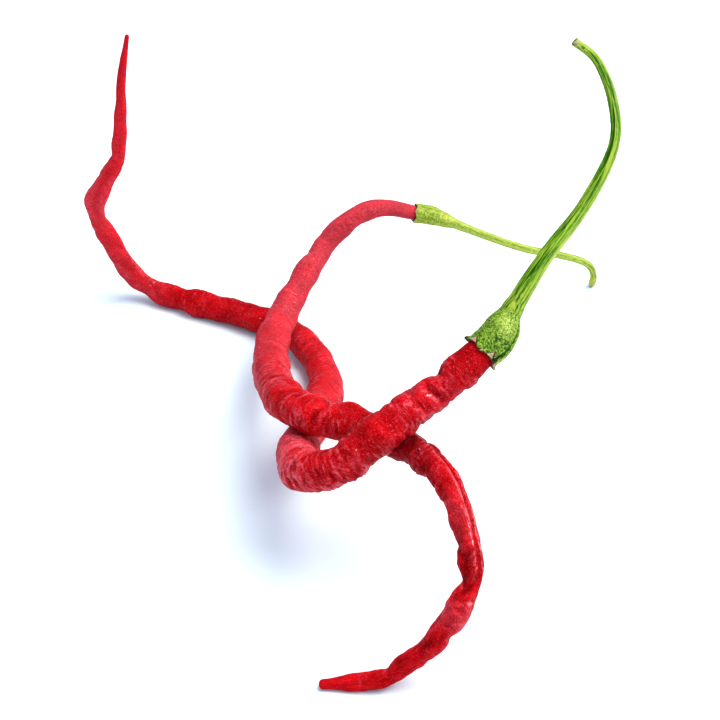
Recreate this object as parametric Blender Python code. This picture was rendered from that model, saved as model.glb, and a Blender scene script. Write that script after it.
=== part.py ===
"""Two long, thin, curly red chillies that have hooked round each other, as they lie on a table.

The near chilli holds its stalk up at the front, passes over the far one, ducks under it, lies on the table and
lifts its thin end at the back left. The far chilli has its stalk at the back right, sinks behind the near one,
arches over it and comes down on its thin end at the front. Each is a red pod and a green stalk, and the stalk
starts in a calyx that caps the pod.

Lengths below are in millimetres, with +X to the right, +Y to the back and +Z up from the table. A distance is
measured along a pod from its shoulder under the calyx, or along a stalk from the rim of its calyx.
"""

import math
import random
from typing import NamedTuple

import bmesh
import bpy
from mathutils import Vector

MM = 0.001

# The line down the middle of each pod, from the shoulder to the thin end
NEAR_POD_ROUTE = (
    (27.5, -18.0, 47.0),
    (19.0, -23.0, 41.0),
    (12.0, -26.0, 37.0),
    (6.0, -29.0, 33.5),
    (-1.0, -31.5, 29.5),
    (-7.0, -30.0, 25.5),
    (-9.5, -20.5, 20.5),
    (-8.0, -8.0, 14.5),
    (-6.5, 4.5, 9.5),
    (-4.5, 16.5, 5.5),
    (-5.0, 24.0, 4.0),
    (-8.0, 32.5, 3.3),
    (-14.0, 41.0, 3.1),
    (-25.0, 47.0, 3.0),
    (-39.0, 53.0, 2.7),
    (-47.3, 56.3, 3.4),
    (-52.5, 57.5, 8.0),
    (-55.5, 57.0, 15.0),
    (-59.0, 56.5, 26.5),
    (-56.5, 56.0, 34.0),
    (-52.5, 56.0, 41.0),
    (-51.0, 56.5, 49.5),
    (-49.5, 56.5, 61.0),
    (-47.0, 56.5, 72.5),
)
FAR_POD_ROUTE = (
    (17.5, 55.5, 26.5),
    (8.0, 55.0, 28.5),
    (1.0, 53.0, 26.5),
    (-4.5, 51.0, 21.5),
    (-9.0, 44.5, 18.0),
    (-14.0, 35.5, 13.5),
    (-16.5, 26.0, 12.5),
    (-16.5, 16.0, 14.0),
    (-15.0, 4.0, 18.0),
    (-11.0, -9.0, 24.0),
    (-5.5, -15.5, 26.5),
    (3.0, -19.0, 27.0),
    (11.0, -25.0, 28.0),
    (16.0, -31.5, 30.0),
    (20.0, -39.5, 30.5),
    (22.5, -46.5, 27.0),
    (23.5, -52.5, 21.5),
    (20.5, -57.5, 16.5),
    (15.5, -60.0, 9.5),
    (10.0, -60.5, 4.0),
    (6.0, -61.0, 1.8),
    (-4.5, -61.5, 1.0),
)

# The line down the middle of each stalk, from the rim of the calyx to the cut end
NEAR_STALK_ROUTE = (
    (25.7, -19.1, 45.7),
    (29.0, -17.1, 48.0),
    (32.0, -14.0, 52.5),
    (38.0, -8.0, 60.0),
    (45.5, -1.0, 67.0),
    (51.0, 6.0, 75.5),
    (51.0, 11.5, 82.0),
    (48.0, 16.5, 88.0),
    (43.5, 19.0, 91.0),
)
FAR_STALK_ROUTE = (
    (16.0, 55.4, 26.8),
    (19.5, 55.6, 26.1),
    (23.5, 55.7, 24.5),
    (32.5, 57.0, 19.5),
    (43.0, 57.5, 15.0),
    (53.5, 59.0, 11.5),
    (59.0, 60.0, 8.5),
    (61.0, 61.5, 4.0),
    (61.0, 62.5, 0.3),
)

# The width of each pod and stalk, as pairs of a distance and a diameter
NEAR_POD_GIRTH = (
    (0, 5.9),
    (8, 6.8),
    (12, 6.2),
    (21, 7.4),
    (36, 8.0),
    (60, 7.8),
    (90, 7.7),
    (102, 6.9),
    (118, 6.4),
    (143, 5.9),
    (148, 6.2),
    (152, 5.4),
    (156, 5.6),
    (161, 4.3),
    (168, 4.6),
    (180, 4.4),
    (184, 3.9),
    (191, 4.4),
    (196, 3.7),
    (204, 3.2),
    (212, 2.7),
    (223, 2.0),
    (236, 0.9),
)
FAR_POD_GIRTH = (
    (0, 3.2),
    (5, 3.5),
    (13, 4.3),
    (24, 4.8),
    (36, 5.6),
    (48, 7.0),
    (60, 7.8),
    (80, 7.4),
    (95, 7.8),
    (108, 7.4),
    (118, 6.8),
    (128, 6.0),
    (133, 5.2),
    (137, 5.3),
    (143, 4.4),
    (149, 4.6),
    (156, 3.9),
    (163, 4.5),
    (174, 3.7),
    (182, 3.8),
    (189, 3.0),
    (194, 1.9),
)
NEAR_STALK_GIRTH = (
    (0, 7.4),
    (4, 7.5),
    (6.5, 6.9),
    (10.5, 4.1),
    (13, 3.4),
    (24, 2.9),
    (36, 2.5),
    (50, 2.0),
    (70, 1.6),
)
FAR_STALK_GIRTH = (
    (0, 4.6),
    (4, 4.5),
    (7, 3.6),
    (11, 2.2),
    (16, 1.9),
    (40, 1.7),
    (55, 1.6),
)

# The calyx: how far its rim comes down the pod, the air that it keeps to the pod, and the teeth of its rim
NEAR_RIM_DROP = 2.5
FAR_RIM_DROP = 1.6
CALYX_AIR = 0.32
CALYX_TEETH = 5
NEAR_TOOTH = 0.35
FAR_TOOTH = 0.2

# The rounding of each end, as the length over which it closes
SHOULDER_CAP = 2.2
FAR_SHOULDER_CAP = 1.4
NEAR_TIP_CAP = 0.6
FAR_TIP_CAP = 0.9
CUT_CAP = 0.3
CAP_RINGS = 4

# Waves of a pod's surface: length along the pod and share of the radius
SWELLS = ((17.0, 0.026), (11.0, 0.024), (6.7, 0.018))
# Lobes round a pod: their count, share of the radius and turn for each millimetre along it
LOBES = ((2, 0.035, 0.05), (3, 0.028, -0.07))
# Knobs: count round a pod, length along it and share of the radius
KNOBS = ((1, 9.5, 0.03), (2, 7.1, 0.03), (3, 5.3, 0.02))
SMOOTH_UNTIL = 2.5
ROUGH_FROM = 9.0
# How many of its reaches a dent is felt over
DENT_REACHES = 2.5
NEAR_SEED = 11
FAR_SEED = 23

STALK_RIDGES = 5
RIDGE_SHARE = 0.07
RIDGES_FROM = 3.0
RIDGES_FULL = 14.0

SPANS_PER_POINT = 16
SIDES = 16
POD_STEP = 1.9
STALK_STEP = 1.9

PALETTE = {
    "near_pod": (0.56, 0.008, 0.018, 1.0),
    "far_pod": (0.56, 0.008, 0.018, 1.0),
    "near_stalk": (0.16, 0.33, 0.035, 1.0),
    "far_stalk": (0.35, 0.48, 0.05, 1.0),
}
POD_ROUGHNESS = 0.38
STALK_ROUGHNESS = 0.55


class Dent(NamedTuple):
    """A hollow on one side of a pod, or a bulge where its depth is below zero."""

    at: float
    toward: tuple
    reach: float
    arc: float
    depth: float


# Sides of a pod, as directions away from its middle line
UP_LEFT = (-0.64, 0.49, 0.59)
UP = (0.0, 0.64, 0.77)
DOWN_RIGHT = (0.64, -0.49, -0.59)
DOWN_LEFT = (-0.7, -0.45, -0.55)
LEFT = (-1.0, 0.0, 0.0)
RIGHT = (1.0, 0.0, 0.0)
FRONT = (0.0, -0.77, 0.64)
FRONT_RIGHT = (0.6, -0.57, 0.48)

NEAR_DENTS = (
    Dent(10.8, UP_LEFT, 1.4, 0.9, 0.15),
    Dent(14.5, UP_LEFT, 2.2, 0.9, -0.06),
    Dent(28.5, DOWN_RIGHT, 1.6, 0.8, 0.08),
    Dent(34.0, DOWN_RIGHT, 3.0, 0.8, -0.12),
    Dent(35.5, UP_LEFT, 2.2, 0.9, 0.22),
    Dent(39.0, UP, 4.5, 1.0, 0.2),
    Dent(43.5, DOWN_RIGHT, 3.0, 0.8, 0.2),
    Dent(68.0, RIGHT, 4.0, 1.0, 0.25),
    Dent(151.0, DOWN_LEFT, 2.2, 0.9, 0.14),
    Dent(160.6, DOWN_LEFT, 1.6, 0.9, 0.18),
    Dent(164.2, DOWN_LEFT, 1.6, 0.9, -0.18),
    Dent(177.5, RIGHT, 2.0, 0.9, -0.12),
    Dent(181.0, LEFT, 1.8, 0.9, 0.14),
    Dent(183.0, RIGHT, 1.8, 0.9, 0.12),
    Dent(189.5, LEFT, 2.0, 0.9, -0.24),
    Dent(199.0, LEFT, 1.8, 0.9, -0.12),
    Dent(203.2, LEFT, 1.4, 0.9, 0.16),
    Dent(206.8, LEFT, 2.0, 0.9, -0.18),
    Dent(210.0, RIGHT, 2.0, 1.0, -0.2),
    Dent(217.0, LEFT, 2.5, 0.9, 0.14),
    Dent(218.0, RIGHT, 3.0, 0.9, -0.14),
)
FAR_DENTS = (
    Dent(30.0, UP_LEFT, 2.0, 0.9, 0.1),
    Dent(104.0, UP, 1.3, 0.9, 0.12),
    Dent(108.5, UP, 2.6, 1.0, -0.14),
    Dent(122.0, DOWN_LEFT, 3.0, 0.9, 0.12),
    Dent(130.0, DOWN_LEFT, 1.6, 0.8, -0.08),
    Dent(132.7, DOWN_LEFT, 1.4, 0.8, 0.12),
    Dent(142.0, FRONT_RIGHT, 10.0, 0.3, 0.2),
    Dent(144.6, LEFT, 2.0, 0.9, -0.18),
    Dent(147.5, FRONT, 1.6, 0.8, 0.12),
    Dent(149.4, LEFT, 1.2, 0.9, 0.08),
    Dent(153.4, LEFT, 2.2, 0.9, -0.2),
    Dent(154.4, FRONT_RIGHT, 1.5, 0.7, -0.14),
    Dent(156.0, RIGHT, 5.0, 0.9, -0.12),
    Dent(156.8, LEFT, 1.6, 0.9, 0.3),
    Dent(158.4, FRONT, 1.4, 0.9, 0.16),
    Dent(161.6, FRONT, 1.8, 0.9, -0.16),
    Dent(161.2, LEFT, 2.2, 0.9, -0.12),
    Dent(163.4, DOWN_RIGHT, 1.8, 0.8, -0.12),
    Dent(166.4, FRONT, 1.6, 0.9, 0.16),
    Dent(167.0, DOWN_RIGHT, 1.3, 0.8, 0.16),
    Dent(169.8, DOWN_RIGHT, 1.4, 0.8, -0.1),
    Dent(171.6, FRONT, 1.8, 0.9, -0.14),
    Dent(173.0, DOWN_RIGHT, 1.3, 0.8, 0.14),
    Dent(176.4, FRONT, 1.6, 0.9, 0.14),
    Dent(177.0, UP_LEFT, 1.8, 0.9, -0.16),
    Dent(181.0, UP_LEFT, 1.5, 0.9, 0.3),
    Dent(185.0, FRONT, 2.0, 0.9, -0.12),
)


def catmull_rom(points, i, t):
    """A point on the smooth span that starts at point i, where t runs from 0 to 1."""
    before = points[i - 1] if i else points[i] * 2 - points[i + 1]
    after = points[i + 2] if i + 2 < len(points) else points[i + 1] * 2 - points[i]
    a, b = points[i], points[i + 1]
    return 0.5 * (
        2 * a
        + (b - before) * t
        + (2 * before - 5 * a + 4 * b - after) * t**2
        + (3 * a - before - 3 * b + after) * t**3
    )


def eased(pairs, distance):
    """The value at a distance, with a smooth step from each pair to the next."""
    if distance <= pairs[0][0]:
        return pairs[0][1]
    for (start, low), (end, high) in zip(pairs, pairs[1:]):
        if distance <= end:
            t = (distance - start) / (end - start)
            return low + (high - low) * t * t * (3 - 2 * t)
    return pairs[-1][1]


def ramp(value, start, end):
    """Rises smoothly from 0 at start to 1 at end."""
    t = min(max((value - start) / (end - start), 0.0), 1.0)
    return t * t * (3 - 2 * t)


def rounding(distance, cap):
    """The share of the full radius at a distance from a rounded end."""
    if distance >= cap:
        return 1.0
    return math.sqrt(max(1.0 - (1.0 - distance / cap) ** 2, 0.0))


class Route:
    """A smooth line through points, with a side direction that twists no more than it has to."""

    def __init__(self, points):
        knots = [Vector(p) for p in points]
        self.line = [
            catmull_rom(knots, i, step / SPANS_PER_POINT)
            for i in range(len(knots) - 1)
            for step in range(SPANS_PER_POINT)
        ]
        self.line.append(knots[-1])
        self.runs = [0.0]
        for a, b in zip(self.line, self.line[1:]):
            self.runs.append(self.runs[-1] + (b - a).length)
        self.length = self.runs[-1]
        self.headings = [self.heading(k) for k in range(len(self.line))]
        self.sides = self.carry_side()

    def heading(self, k):
        a, b = self.line[max(k - 1, 0)], self.line[min(k + 1, len(self.line) - 1)]
        return (b - a).normalized()

    def carry_side(self):
        """One side direction carried along the line, square to it everywhere."""
        side = self.headings[0].orthogonal().normalized()
        sides = []
        for heading in self.headings:
            side = (side - heading * side.dot(heading)).normalized()
            sides.append(side)
        return sides

    def frame(self, distance):
        """The centre, the heading and the two cross directions at a distance, also past either end."""
        reach = min(max(distance, 0.0), self.length)
        k = 0
        while k < len(self.runs) - 2 and self.runs[k + 1] < reach:
            k += 1
        t = (reach - self.runs[k]) / (self.runs[k + 1] - self.runs[k])
        heading = self.headings[k].lerp(self.headings[k + 1], t).normalized()
        centre = self.line[k].lerp(self.line[k + 1], t) + heading * (distance - reach)
        side = self.sides[k].lerp(self.sides[k + 1], t)
        side = (side - heading * side.dot(heading)).normalized()
        return centre, heading, side, heading.cross(side)


class Skin:
    """The uneven surface of one pod, as a factor on its radius."""

    def __init__(self, seed, dents):
        draw = random.Random(seed)
        self.swells = [(length, share, draw.uniform(0, math.tau)) for length, share in SWELLS]
        self.lobes = [(*lobe, draw.uniform(0, math.tau)) for lobe in LOBES]
        self.knobs = [(*knob, draw.uniform(0, math.tau), draw.uniform(0, math.tau)) for knob in KNOBS]
        self.dents = dents

    def waves(self, distance, turn):
        total = 0.0
        for length, share, phase in self.swells:
            total += share * math.cos(math.tau * distance / length + phase)
        for count, share, twist, phase in self.lobes:
            total += share * math.cos(count * turn + twist * distance + phase)
        for count, length, share, phase, start in self.knobs:
            total += share * math.cos(math.tau * distance / length + phase) * math.cos(count * turn + start)
        return total * ramp(distance, SMOOTH_UNTIL, ROUGH_FROM)

    def dented(self, distance, heading, outward):
        total = 0.0
        for dent in self.dents:
            along = (distance - dent.at) / dent.reach
            if abs(along) > DENT_REACHES:
                continue
            toward = Vector(dent.toward)
            toward = (toward - heading * toward.dot(heading)).normalized()
            angle = toward.angle(outward)
            total += dent.depth * math.exp(-(along**2) - (angle / dent.arc) ** 2)
        return total

    def factor(self, distance, turn, heading, outward):
        return 1.0 + self.waves(distance, turn) - self.dented(distance, heading, outward)


def spaced(start, end, step):
    """Even distances from start to end, both included, about a step apart."""
    count = max(round((end - start) / step), 1)
    return [start + (end - start) * i / count for i in range(count + 1)]


def cap_distances(cap):
    """Distances from a rounded end that follow its curve, without the pole."""
    return [cap * (1 - math.cos(math.pi / 2 * i / CAP_RINGS)) for i in range(1, CAP_RINGS)]


def ring(route, distance, radius_at, shift_at=None):
    """The points round a route at a distance, kept on or above the table."""
    points = []
    for i in range(SIDES):
        turn = math.tau * i / SIDES
        place = distance + (shift_at(turn) if shift_at else 0.0)
        centre, heading, side, cross = route.frame(place)
        outward = side * math.cos(turn) + cross * math.sin(turn)
        point = centre + outward * radius_at(distance, turn, heading, outward)
        point.z = max(point.z, 0.0)
        points.append(point)
    return points


def skin_over(name, first_pole, rings, last_pole):
    """A closed mesh over rings of points, from one pole to the other."""
    bm = bmesh.new()
    start = bm.verts.new(first_pole * MM)
    loops = [[bm.verts.new(point * MM) for point in points] for points in rings]
    end = bm.verts.new(last_pole * MM)
    for i in range(SIDES):
        after = (i + 1) % SIDES
        bm.faces.new((start, loops[0][after], loops[0][i]))
        for lower, upper in zip(loops, loops[1:]):
            bm.faces.new((lower[i], lower[after], upper[after], upper[i]))
        bm.faces.new((end, loops[-1][i], loops[-1][after]))
    bmesh.ops.triangulate(bm, faces=bm.faces[:], quad_method="SHORT_EDGE")
    bmesh.ops.recalc_face_normals(bm, faces=bm.faces[:])
    mesh = bpy.data.meshes.new(name)
    bm.to_mesh(mesh)
    bm.free()
    mesh.shade_smooth()
    return mesh


def add_object(name, mesh, roughness):
    """Links an object with its own plain material."""
    material = bpy.data.materials.new(name)
    material.use_nodes = True
    shader = material.node_tree.nodes["Principled BSDF"]
    shader.inputs["Base Color"].default_value = PALETTE[name]
    shader.inputs["Roughness"].default_value = roughness
    shader.inputs["Metallic"].default_value = 0.0
    material.diffuse_color = PALETTE[name]
    mesh.materials.append(material)
    piece = bpy.data.objects.new(name, mesh)
    bpy.context.collection.objects.link(piece)
    return piece


def build_pod(name, points, girth, shoulder_cap, tip_cap, skin):
    """One pod, closed by a domed shoulder and a rounded tip."""
    route = Route(points)
    length = route.length

    def radius_at(distance, turn, heading, outward):
        ends = rounding(distance, shoulder_cap) * rounding(length - distance, tip_cap)
        return eased(girth, distance) / 2 * ends * skin.factor(distance, turn, heading, outward)

    distances = cap_distances(shoulder_cap)
    distances += spaced(shoulder_cap, length - tip_cap, POD_STEP)
    distances += [length - d for d in reversed(cap_distances(tip_cap))]
    rings = [ring(route, distance, radius_at) for distance in distances]
    mesh = skin_over(name, route.frame(0.0)[0], rings, route.frame(length)[0])
    return add_object(name, mesh, POD_ROUGHNESS)


def build_stalk(name, points, girth, rim_drop, shoulder_cap, shoulder_radius, tooth):
    """One stalk and the hollow calyx at its foot, which caps the shoulder of the pod."""
    route = Route(points)
    length = route.length
    hollow_radius = shoulder_radius + CALYX_AIR
    hollow_depth = shoulder_cap + CALYX_AIR
    hollow_start = rim_drop - shoulder_cap

    def hollow_at(distance, turn, heading, outward):
        return hollow_radius * rounding(hollow_depth - (distance - hollow_start), hollow_depth)

    def outside_at(distance, turn, heading, outward):
        ridges = RIDGE_SHARE * ramp(distance, RIDGES_FROM, RIDGES_FULL) * math.cos(STALK_RIDGES * turn)
        return eased(girth, distance) / 2 * rounding(length - distance, CUT_CAP) * (1 + ridges)

    def teeth_at(turn):
        return -tooth * (0.5 + 0.5 * math.cos(CALYX_TEETH * turn))

    ceiling = hollow_start + hollow_depth
    inner = [ring(route, ceiling - d, hollow_at) for d in cap_distances(hollow_depth)]
    inner.append(ring(route, hollow_start, hollow_at))
    lip = [ring(route, 0.0, hollow_at, teeth_at), ring(route, 0.0, outside_at, teeth_at)]
    outer = [ring(route, distance, outside_at) for distance in spaced(STALK_STEP / 2, length - CUT_CAP, STALK_STEP)]
    outer += [ring(route, length - d, outside_at) for d in reversed(cap_distances(CUT_CAP))]
    mesh = skin_over(name, route.frame(ceiling)[0], inner + lip + outer, route.frame(length)[0])
    return add_object(name, mesh, STALK_ROUGHNESS)


def main():
    for old in list(bpy.data.objects):
        bpy.data.objects.remove(old)
    build_pod(
        "near_pod", NEAR_POD_ROUTE, NEAR_POD_GIRTH, SHOULDER_CAP, NEAR_TIP_CAP, Skin(NEAR_SEED, NEAR_DENTS)
    )
    build_pod(
        "far_pod", FAR_POD_ROUTE, FAR_POD_GIRTH, FAR_SHOULDER_CAP, FAR_TIP_CAP, Skin(FAR_SEED, FAR_DENTS)
    )
    near_shoulder = eased(NEAR_POD_GIRTH, NEAR_RIM_DROP) / 2
    far_shoulder = eased(FAR_POD_GIRTH, FAR_RIM_DROP) / 2
    build_stalk(
        "near_stalk", NEAR_STALK_ROUTE, NEAR_STALK_GIRTH, NEAR_RIM_DROP, SHOULDER_CAP, near_shoulder, NEAR_TOOTH
    )
    build_stalk(
        "far_stalk", FAR_STALK_ROUTE, FAR_STALK_GIRTH, FAR_RIM_DROP, FAR_SHOULDER_CAP, far_shoulder, FAR_TOOTH
    )


main()
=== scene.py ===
"""The looks of two fresh, curly red chillies that have hooked round each other on a white table.

Each chilli is a pod with a wrinkled, waxy skin and a ribbed green stalk, whose calyx caps the pod with a
dried, toothed rim. A pod and a stalk are swept along the same lines as the solids that they replace, with the
same main forms, and finer folds, creases and veins are added over them. Lengths are in millimetres until a
mesh is made.
"""

from __future__ import annotations

import logging
import math
import random
from dataclasses import dataclass, field
from enum import Enum

import bpy
import numpy as np
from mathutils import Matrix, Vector

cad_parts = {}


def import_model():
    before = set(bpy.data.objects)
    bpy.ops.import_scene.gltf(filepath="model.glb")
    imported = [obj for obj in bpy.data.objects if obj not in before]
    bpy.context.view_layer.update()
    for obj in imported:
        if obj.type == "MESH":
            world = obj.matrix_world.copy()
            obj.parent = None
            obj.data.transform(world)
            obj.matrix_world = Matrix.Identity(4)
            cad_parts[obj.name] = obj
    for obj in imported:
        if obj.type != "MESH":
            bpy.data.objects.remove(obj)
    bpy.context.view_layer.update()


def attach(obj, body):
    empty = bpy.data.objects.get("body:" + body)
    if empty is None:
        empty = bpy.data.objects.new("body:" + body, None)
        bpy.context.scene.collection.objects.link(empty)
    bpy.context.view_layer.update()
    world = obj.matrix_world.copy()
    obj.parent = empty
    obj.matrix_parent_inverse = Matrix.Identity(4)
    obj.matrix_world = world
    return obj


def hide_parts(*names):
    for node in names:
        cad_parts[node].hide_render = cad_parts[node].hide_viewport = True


LOG = logging.getLogger("chillies")
MM = 0.001
TAU = math.tau
BODY = "root"

Array = np.ndarray
Vec = tuple[float, float, float]
Points = tuple[Vec, ...]
Pairs = tuple[tuple[float, float], ...]
Band = tuple[float, float]
Colour = tuple[float, float, float, float]
Socket = bpy.types.NodeSocket

SPANS_PER_POINT = 16
# Waves of a pod's surface: length along the pod and share of the radius
SWELLS = ((17.0, 0.026), (11.0, 0.024), (6.7, 0.018))
# Lobes round a pod: their count, share of the radius and turn for each millimetre along it
LOBES = ((2, 0.035, 0.05), (3, 0.028, -0.07))
# Knobs: count round a pod, length along it and share of the radius
KNOBS = ((1, 9.5, 0.03), (2, 7.1, 0.03), (3, 5.3, 0.02))
# Where a pod's waves and its folds fade in, as distances from its shoulder
WAVES_FADE_IN = (2.5, 9.0)
FOLDS_FADE_IN = (1.5, 4.0)
# The radius from which folds have their full depth, and the least share that they keep on a thinner pod
FULL_FOLD_RADIUS = 3.6
LEAST_FOLDS = 0.25
DEEPEST_FOLD = 0.26
UNROLLED_RADIUS = 4.0
SQUEEZE = 2.2
ZONE_BLUR = 3.0
THIN_OVER = 40.0

CALYX_AIR = 0.32
HOLLOW_RINGS = 10
HOLLOW_REACH = 0.9
RIM_REACH = 2.6
RIDGE_SHARE = 0.07
RIDGES_FADE_IN = (3.0, 14.0)
SEAM_TWIST = 1.2
CUT_RINGS = 5
GLOSS_SPREAD = 0.30


class Side(Enum):
    """The sides of a chilli as seen from the front, as directions away from its middle line."""

    UP_LEFT = (-0.64, 0.49, 0.59)
    UP = (0.0, 0.64, 0.77)
    DOWN_RIGHT = (0.64, -0.49, -0.59)
    DOWN_LEFT = (-0.7, -0.45, -0.55)
    LEFT = (-1.0, 0.0, 0.0)
    RIGHT = (1.0, 0.0, 0.0)
    FRONT = (0.0, -0.77, 0.64)
    FRONT_RIGHT = (0.6, -0.57, 0.48)
    ABOVE = (0.0, 0.0, 1.0)


@dataclass(frozen=True)
class Dent:
    """A hollow on one side of a pod, or a bulge where its depth is below zero."""

    side: Side
    at: float
    reach: float
    depth: float
    arc: float = 0.9


@dataclass(frozen=True)
class Crease:
    """A short fold across a pod, with the skin puffed up on both its sides."""

    side: Side
    at: float
    arc: float
    width: float
    depth: float
    slant: float


@dataclass(frozen=True)
class Crumple:
    """A stretch with many small creases, and the strength of its wrinkles and lumps."""

    start: float
    end: float
    spacing: float
    depth: float
    wrinkles: float
    arc: float = 0.8
    slant: float = 0.7
    lumps: float = 1.0


@dataclass(frozen=True)
class Furrow:
    """A lengthwise groove: its stretch, its turn from a side of the pod, its half width and its depth."""

    start: float
    end: float
    side: Side
    turn: float
    arc: float
    depth: float


@dataclass(frozen=True)
class Waves:
    """Noise on a skin: its waves' lengths along and round it, its place in the noise and its strength."""

    along: float
    around: float
    shift: float
    strength: float = 1.0


LUMPS = (Waves(4.2, 3.4, 3.3, 0.13), Waves(1.9, 2.2, 7.1, 0.075))
WRINKLE_DRIFT = Waves(2.6, 2.4, 71.9, 0.5)
WRINKLE_SETS = ((Waves(1.0, 4.2, 23.1), 0.10), (Waves(0.55, 1.8, 31.7), 0.085))
WRINKLE_PATCHES = Waves(9.0, 4.0, 41.3, 0.9)
WRINKLE_GRAIN = Waves(0.55, 0.6, 83.3, 0.04)
SOFT_FURROWS = Waves(14.0, 4.6, 53.9)
SOFT_FURROW_DEPTH = 0.07


@dataclass(frozen=True)
class Frames:
    """Centres and directions of a route at an array of distances."""

    centre: Array
    heading: Array
    side: Array
    cross: Array


def by_side(kind: type[Dent] | type[Crease], groups: dict[Side, tuple[tuple[float, ...], ...]]) -> tuple:
    """A dent or crease for each row of values, on the side that its rows are listed under."""
    return tuple(kind(side, *row) for side, rows in groups.items() for row in rows)


def unit(vectors: Array) -> Array:
    """Vectors at length one."""
    return vectors / np.linalg.norm(vectors, axis=-1, keepdims=True)


def ramp(value: Array | float, start: float, end: float) -> Array:
    """A smooth rise from 0 at start to 1 at end."""
    t = np.clip((value - start) / (end - start), 0.0, 1.0)
    return t * t * (3 - 2 * t)


def bell(value: Array, width: float) -> Array:
    """A smooth bump that is 1 at 0 and fades over a width."""
    return np.exp(-((value / width) ** 2))


def eased(pairs: Pairs, distance: Array) -> Array:
    """A quantity that takes a smooth step from each of its known values to the next.

    Args:
        pairs: Distances and the values there.
        distance: The distances asked for.

    Returns:
        The values there.
    """
    result = np.full(np.shape(distance), float(pairs[0][1]))
    for (start, low), (end, high) in zip(pairs, pairs[1:]):
        result += (high - low) * ramp(distance, start, end)
    return result


def rounding(distance: Array, cap: float) -> Array:
    """The share of the full radius at each distance from a rounded end."""
    return np.sqrt(np.clip(1.0 - np.clip(1.0 - distance / cap, 0.0, 1.0) ** 2, 0.0, 1.0))


def wrapped(angle: Array) -> Array:
    """Angles brought between minus pi and pi."""
    return (angle + math.pi) % TAU - math.pi


def even_turns(sides: int) -> Array:
    """Turns evenly round a line, as a row."""
    return (np.arange(sides) * TAU / sides)[None, :]


def spaced(start: float, end: float, step: float) -> Array:
    """Even distances from start to end, both included, about a step apart."""
    return np.linspace(start, end, max(round((end - start) / step), 1) + 1)


def cap_distances(cap: float, count: int) -> Array:
    """Distances from a rounded end that follow its curve, without the pole and the last ring."""
    return cap * (1 - np.cos(np.pi / 2 * np.arange(1, count) / count))


class Noise:
    """Smooth seeded noise in space, worked out for whole arrays of points."""

    TABLE = 256
    GAIN = 1.6

    def __init__(self, seed: int) -> None:
        """Draws the order and the slopes of the lattice.

        Args:
            seed: The seed of the draw.
        """
        draw = np.random.default_rng(seed)
        self.order = draw.permutation(self.TABLE)
        self.slopes = unit(draw.normal(size=(self.TABLE, 3)))

    def at(self, x: Array, y: Array, z: Array) -> Array:
        """The noise at points.

        Args:
            x, y, z: The points' coordinates, in waves.

        Returns:
            Values between about -1 and 1.
        """
        x, y, z = np.broadcast_arrays(x, y, z)
        place = np.stack([x, y, z], -1)
        low = np.floor(place).astype(int)
        offset = place - low
        fade = offset**3 * (offset * (offset * 6 - 15) + 10)
        total = np.zeros(x.shape)
        for corner in np.ndindex(2, 2, 2):
            cell = (low + corner) % self.TABLE
            row = self.order[(self.order[cell[..., 0]] + cell[..., 1]) % self.TABLE]
            index = self.order[(row + cell[..., 2]) % self.TABLE]
            share = np.prod(np.where(np.array(corner) == 1, fade, 1 - fade), axis=-1)
            total += share * np.sum(self.slopes[index] * (offset - corner), axis=-1)
        return total * self.GAIN

    def round_tube(self, radius: float, turns: Array, along: Array | float, shift: Band = (0.0, 0.0)) -> Array:
        """The noise on a tube whose radius and places along it are in waves."""
        return self.at(radius * np.cos(turns) + shift[0], radius * np.sin(turns) + shift[1], along)


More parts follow.
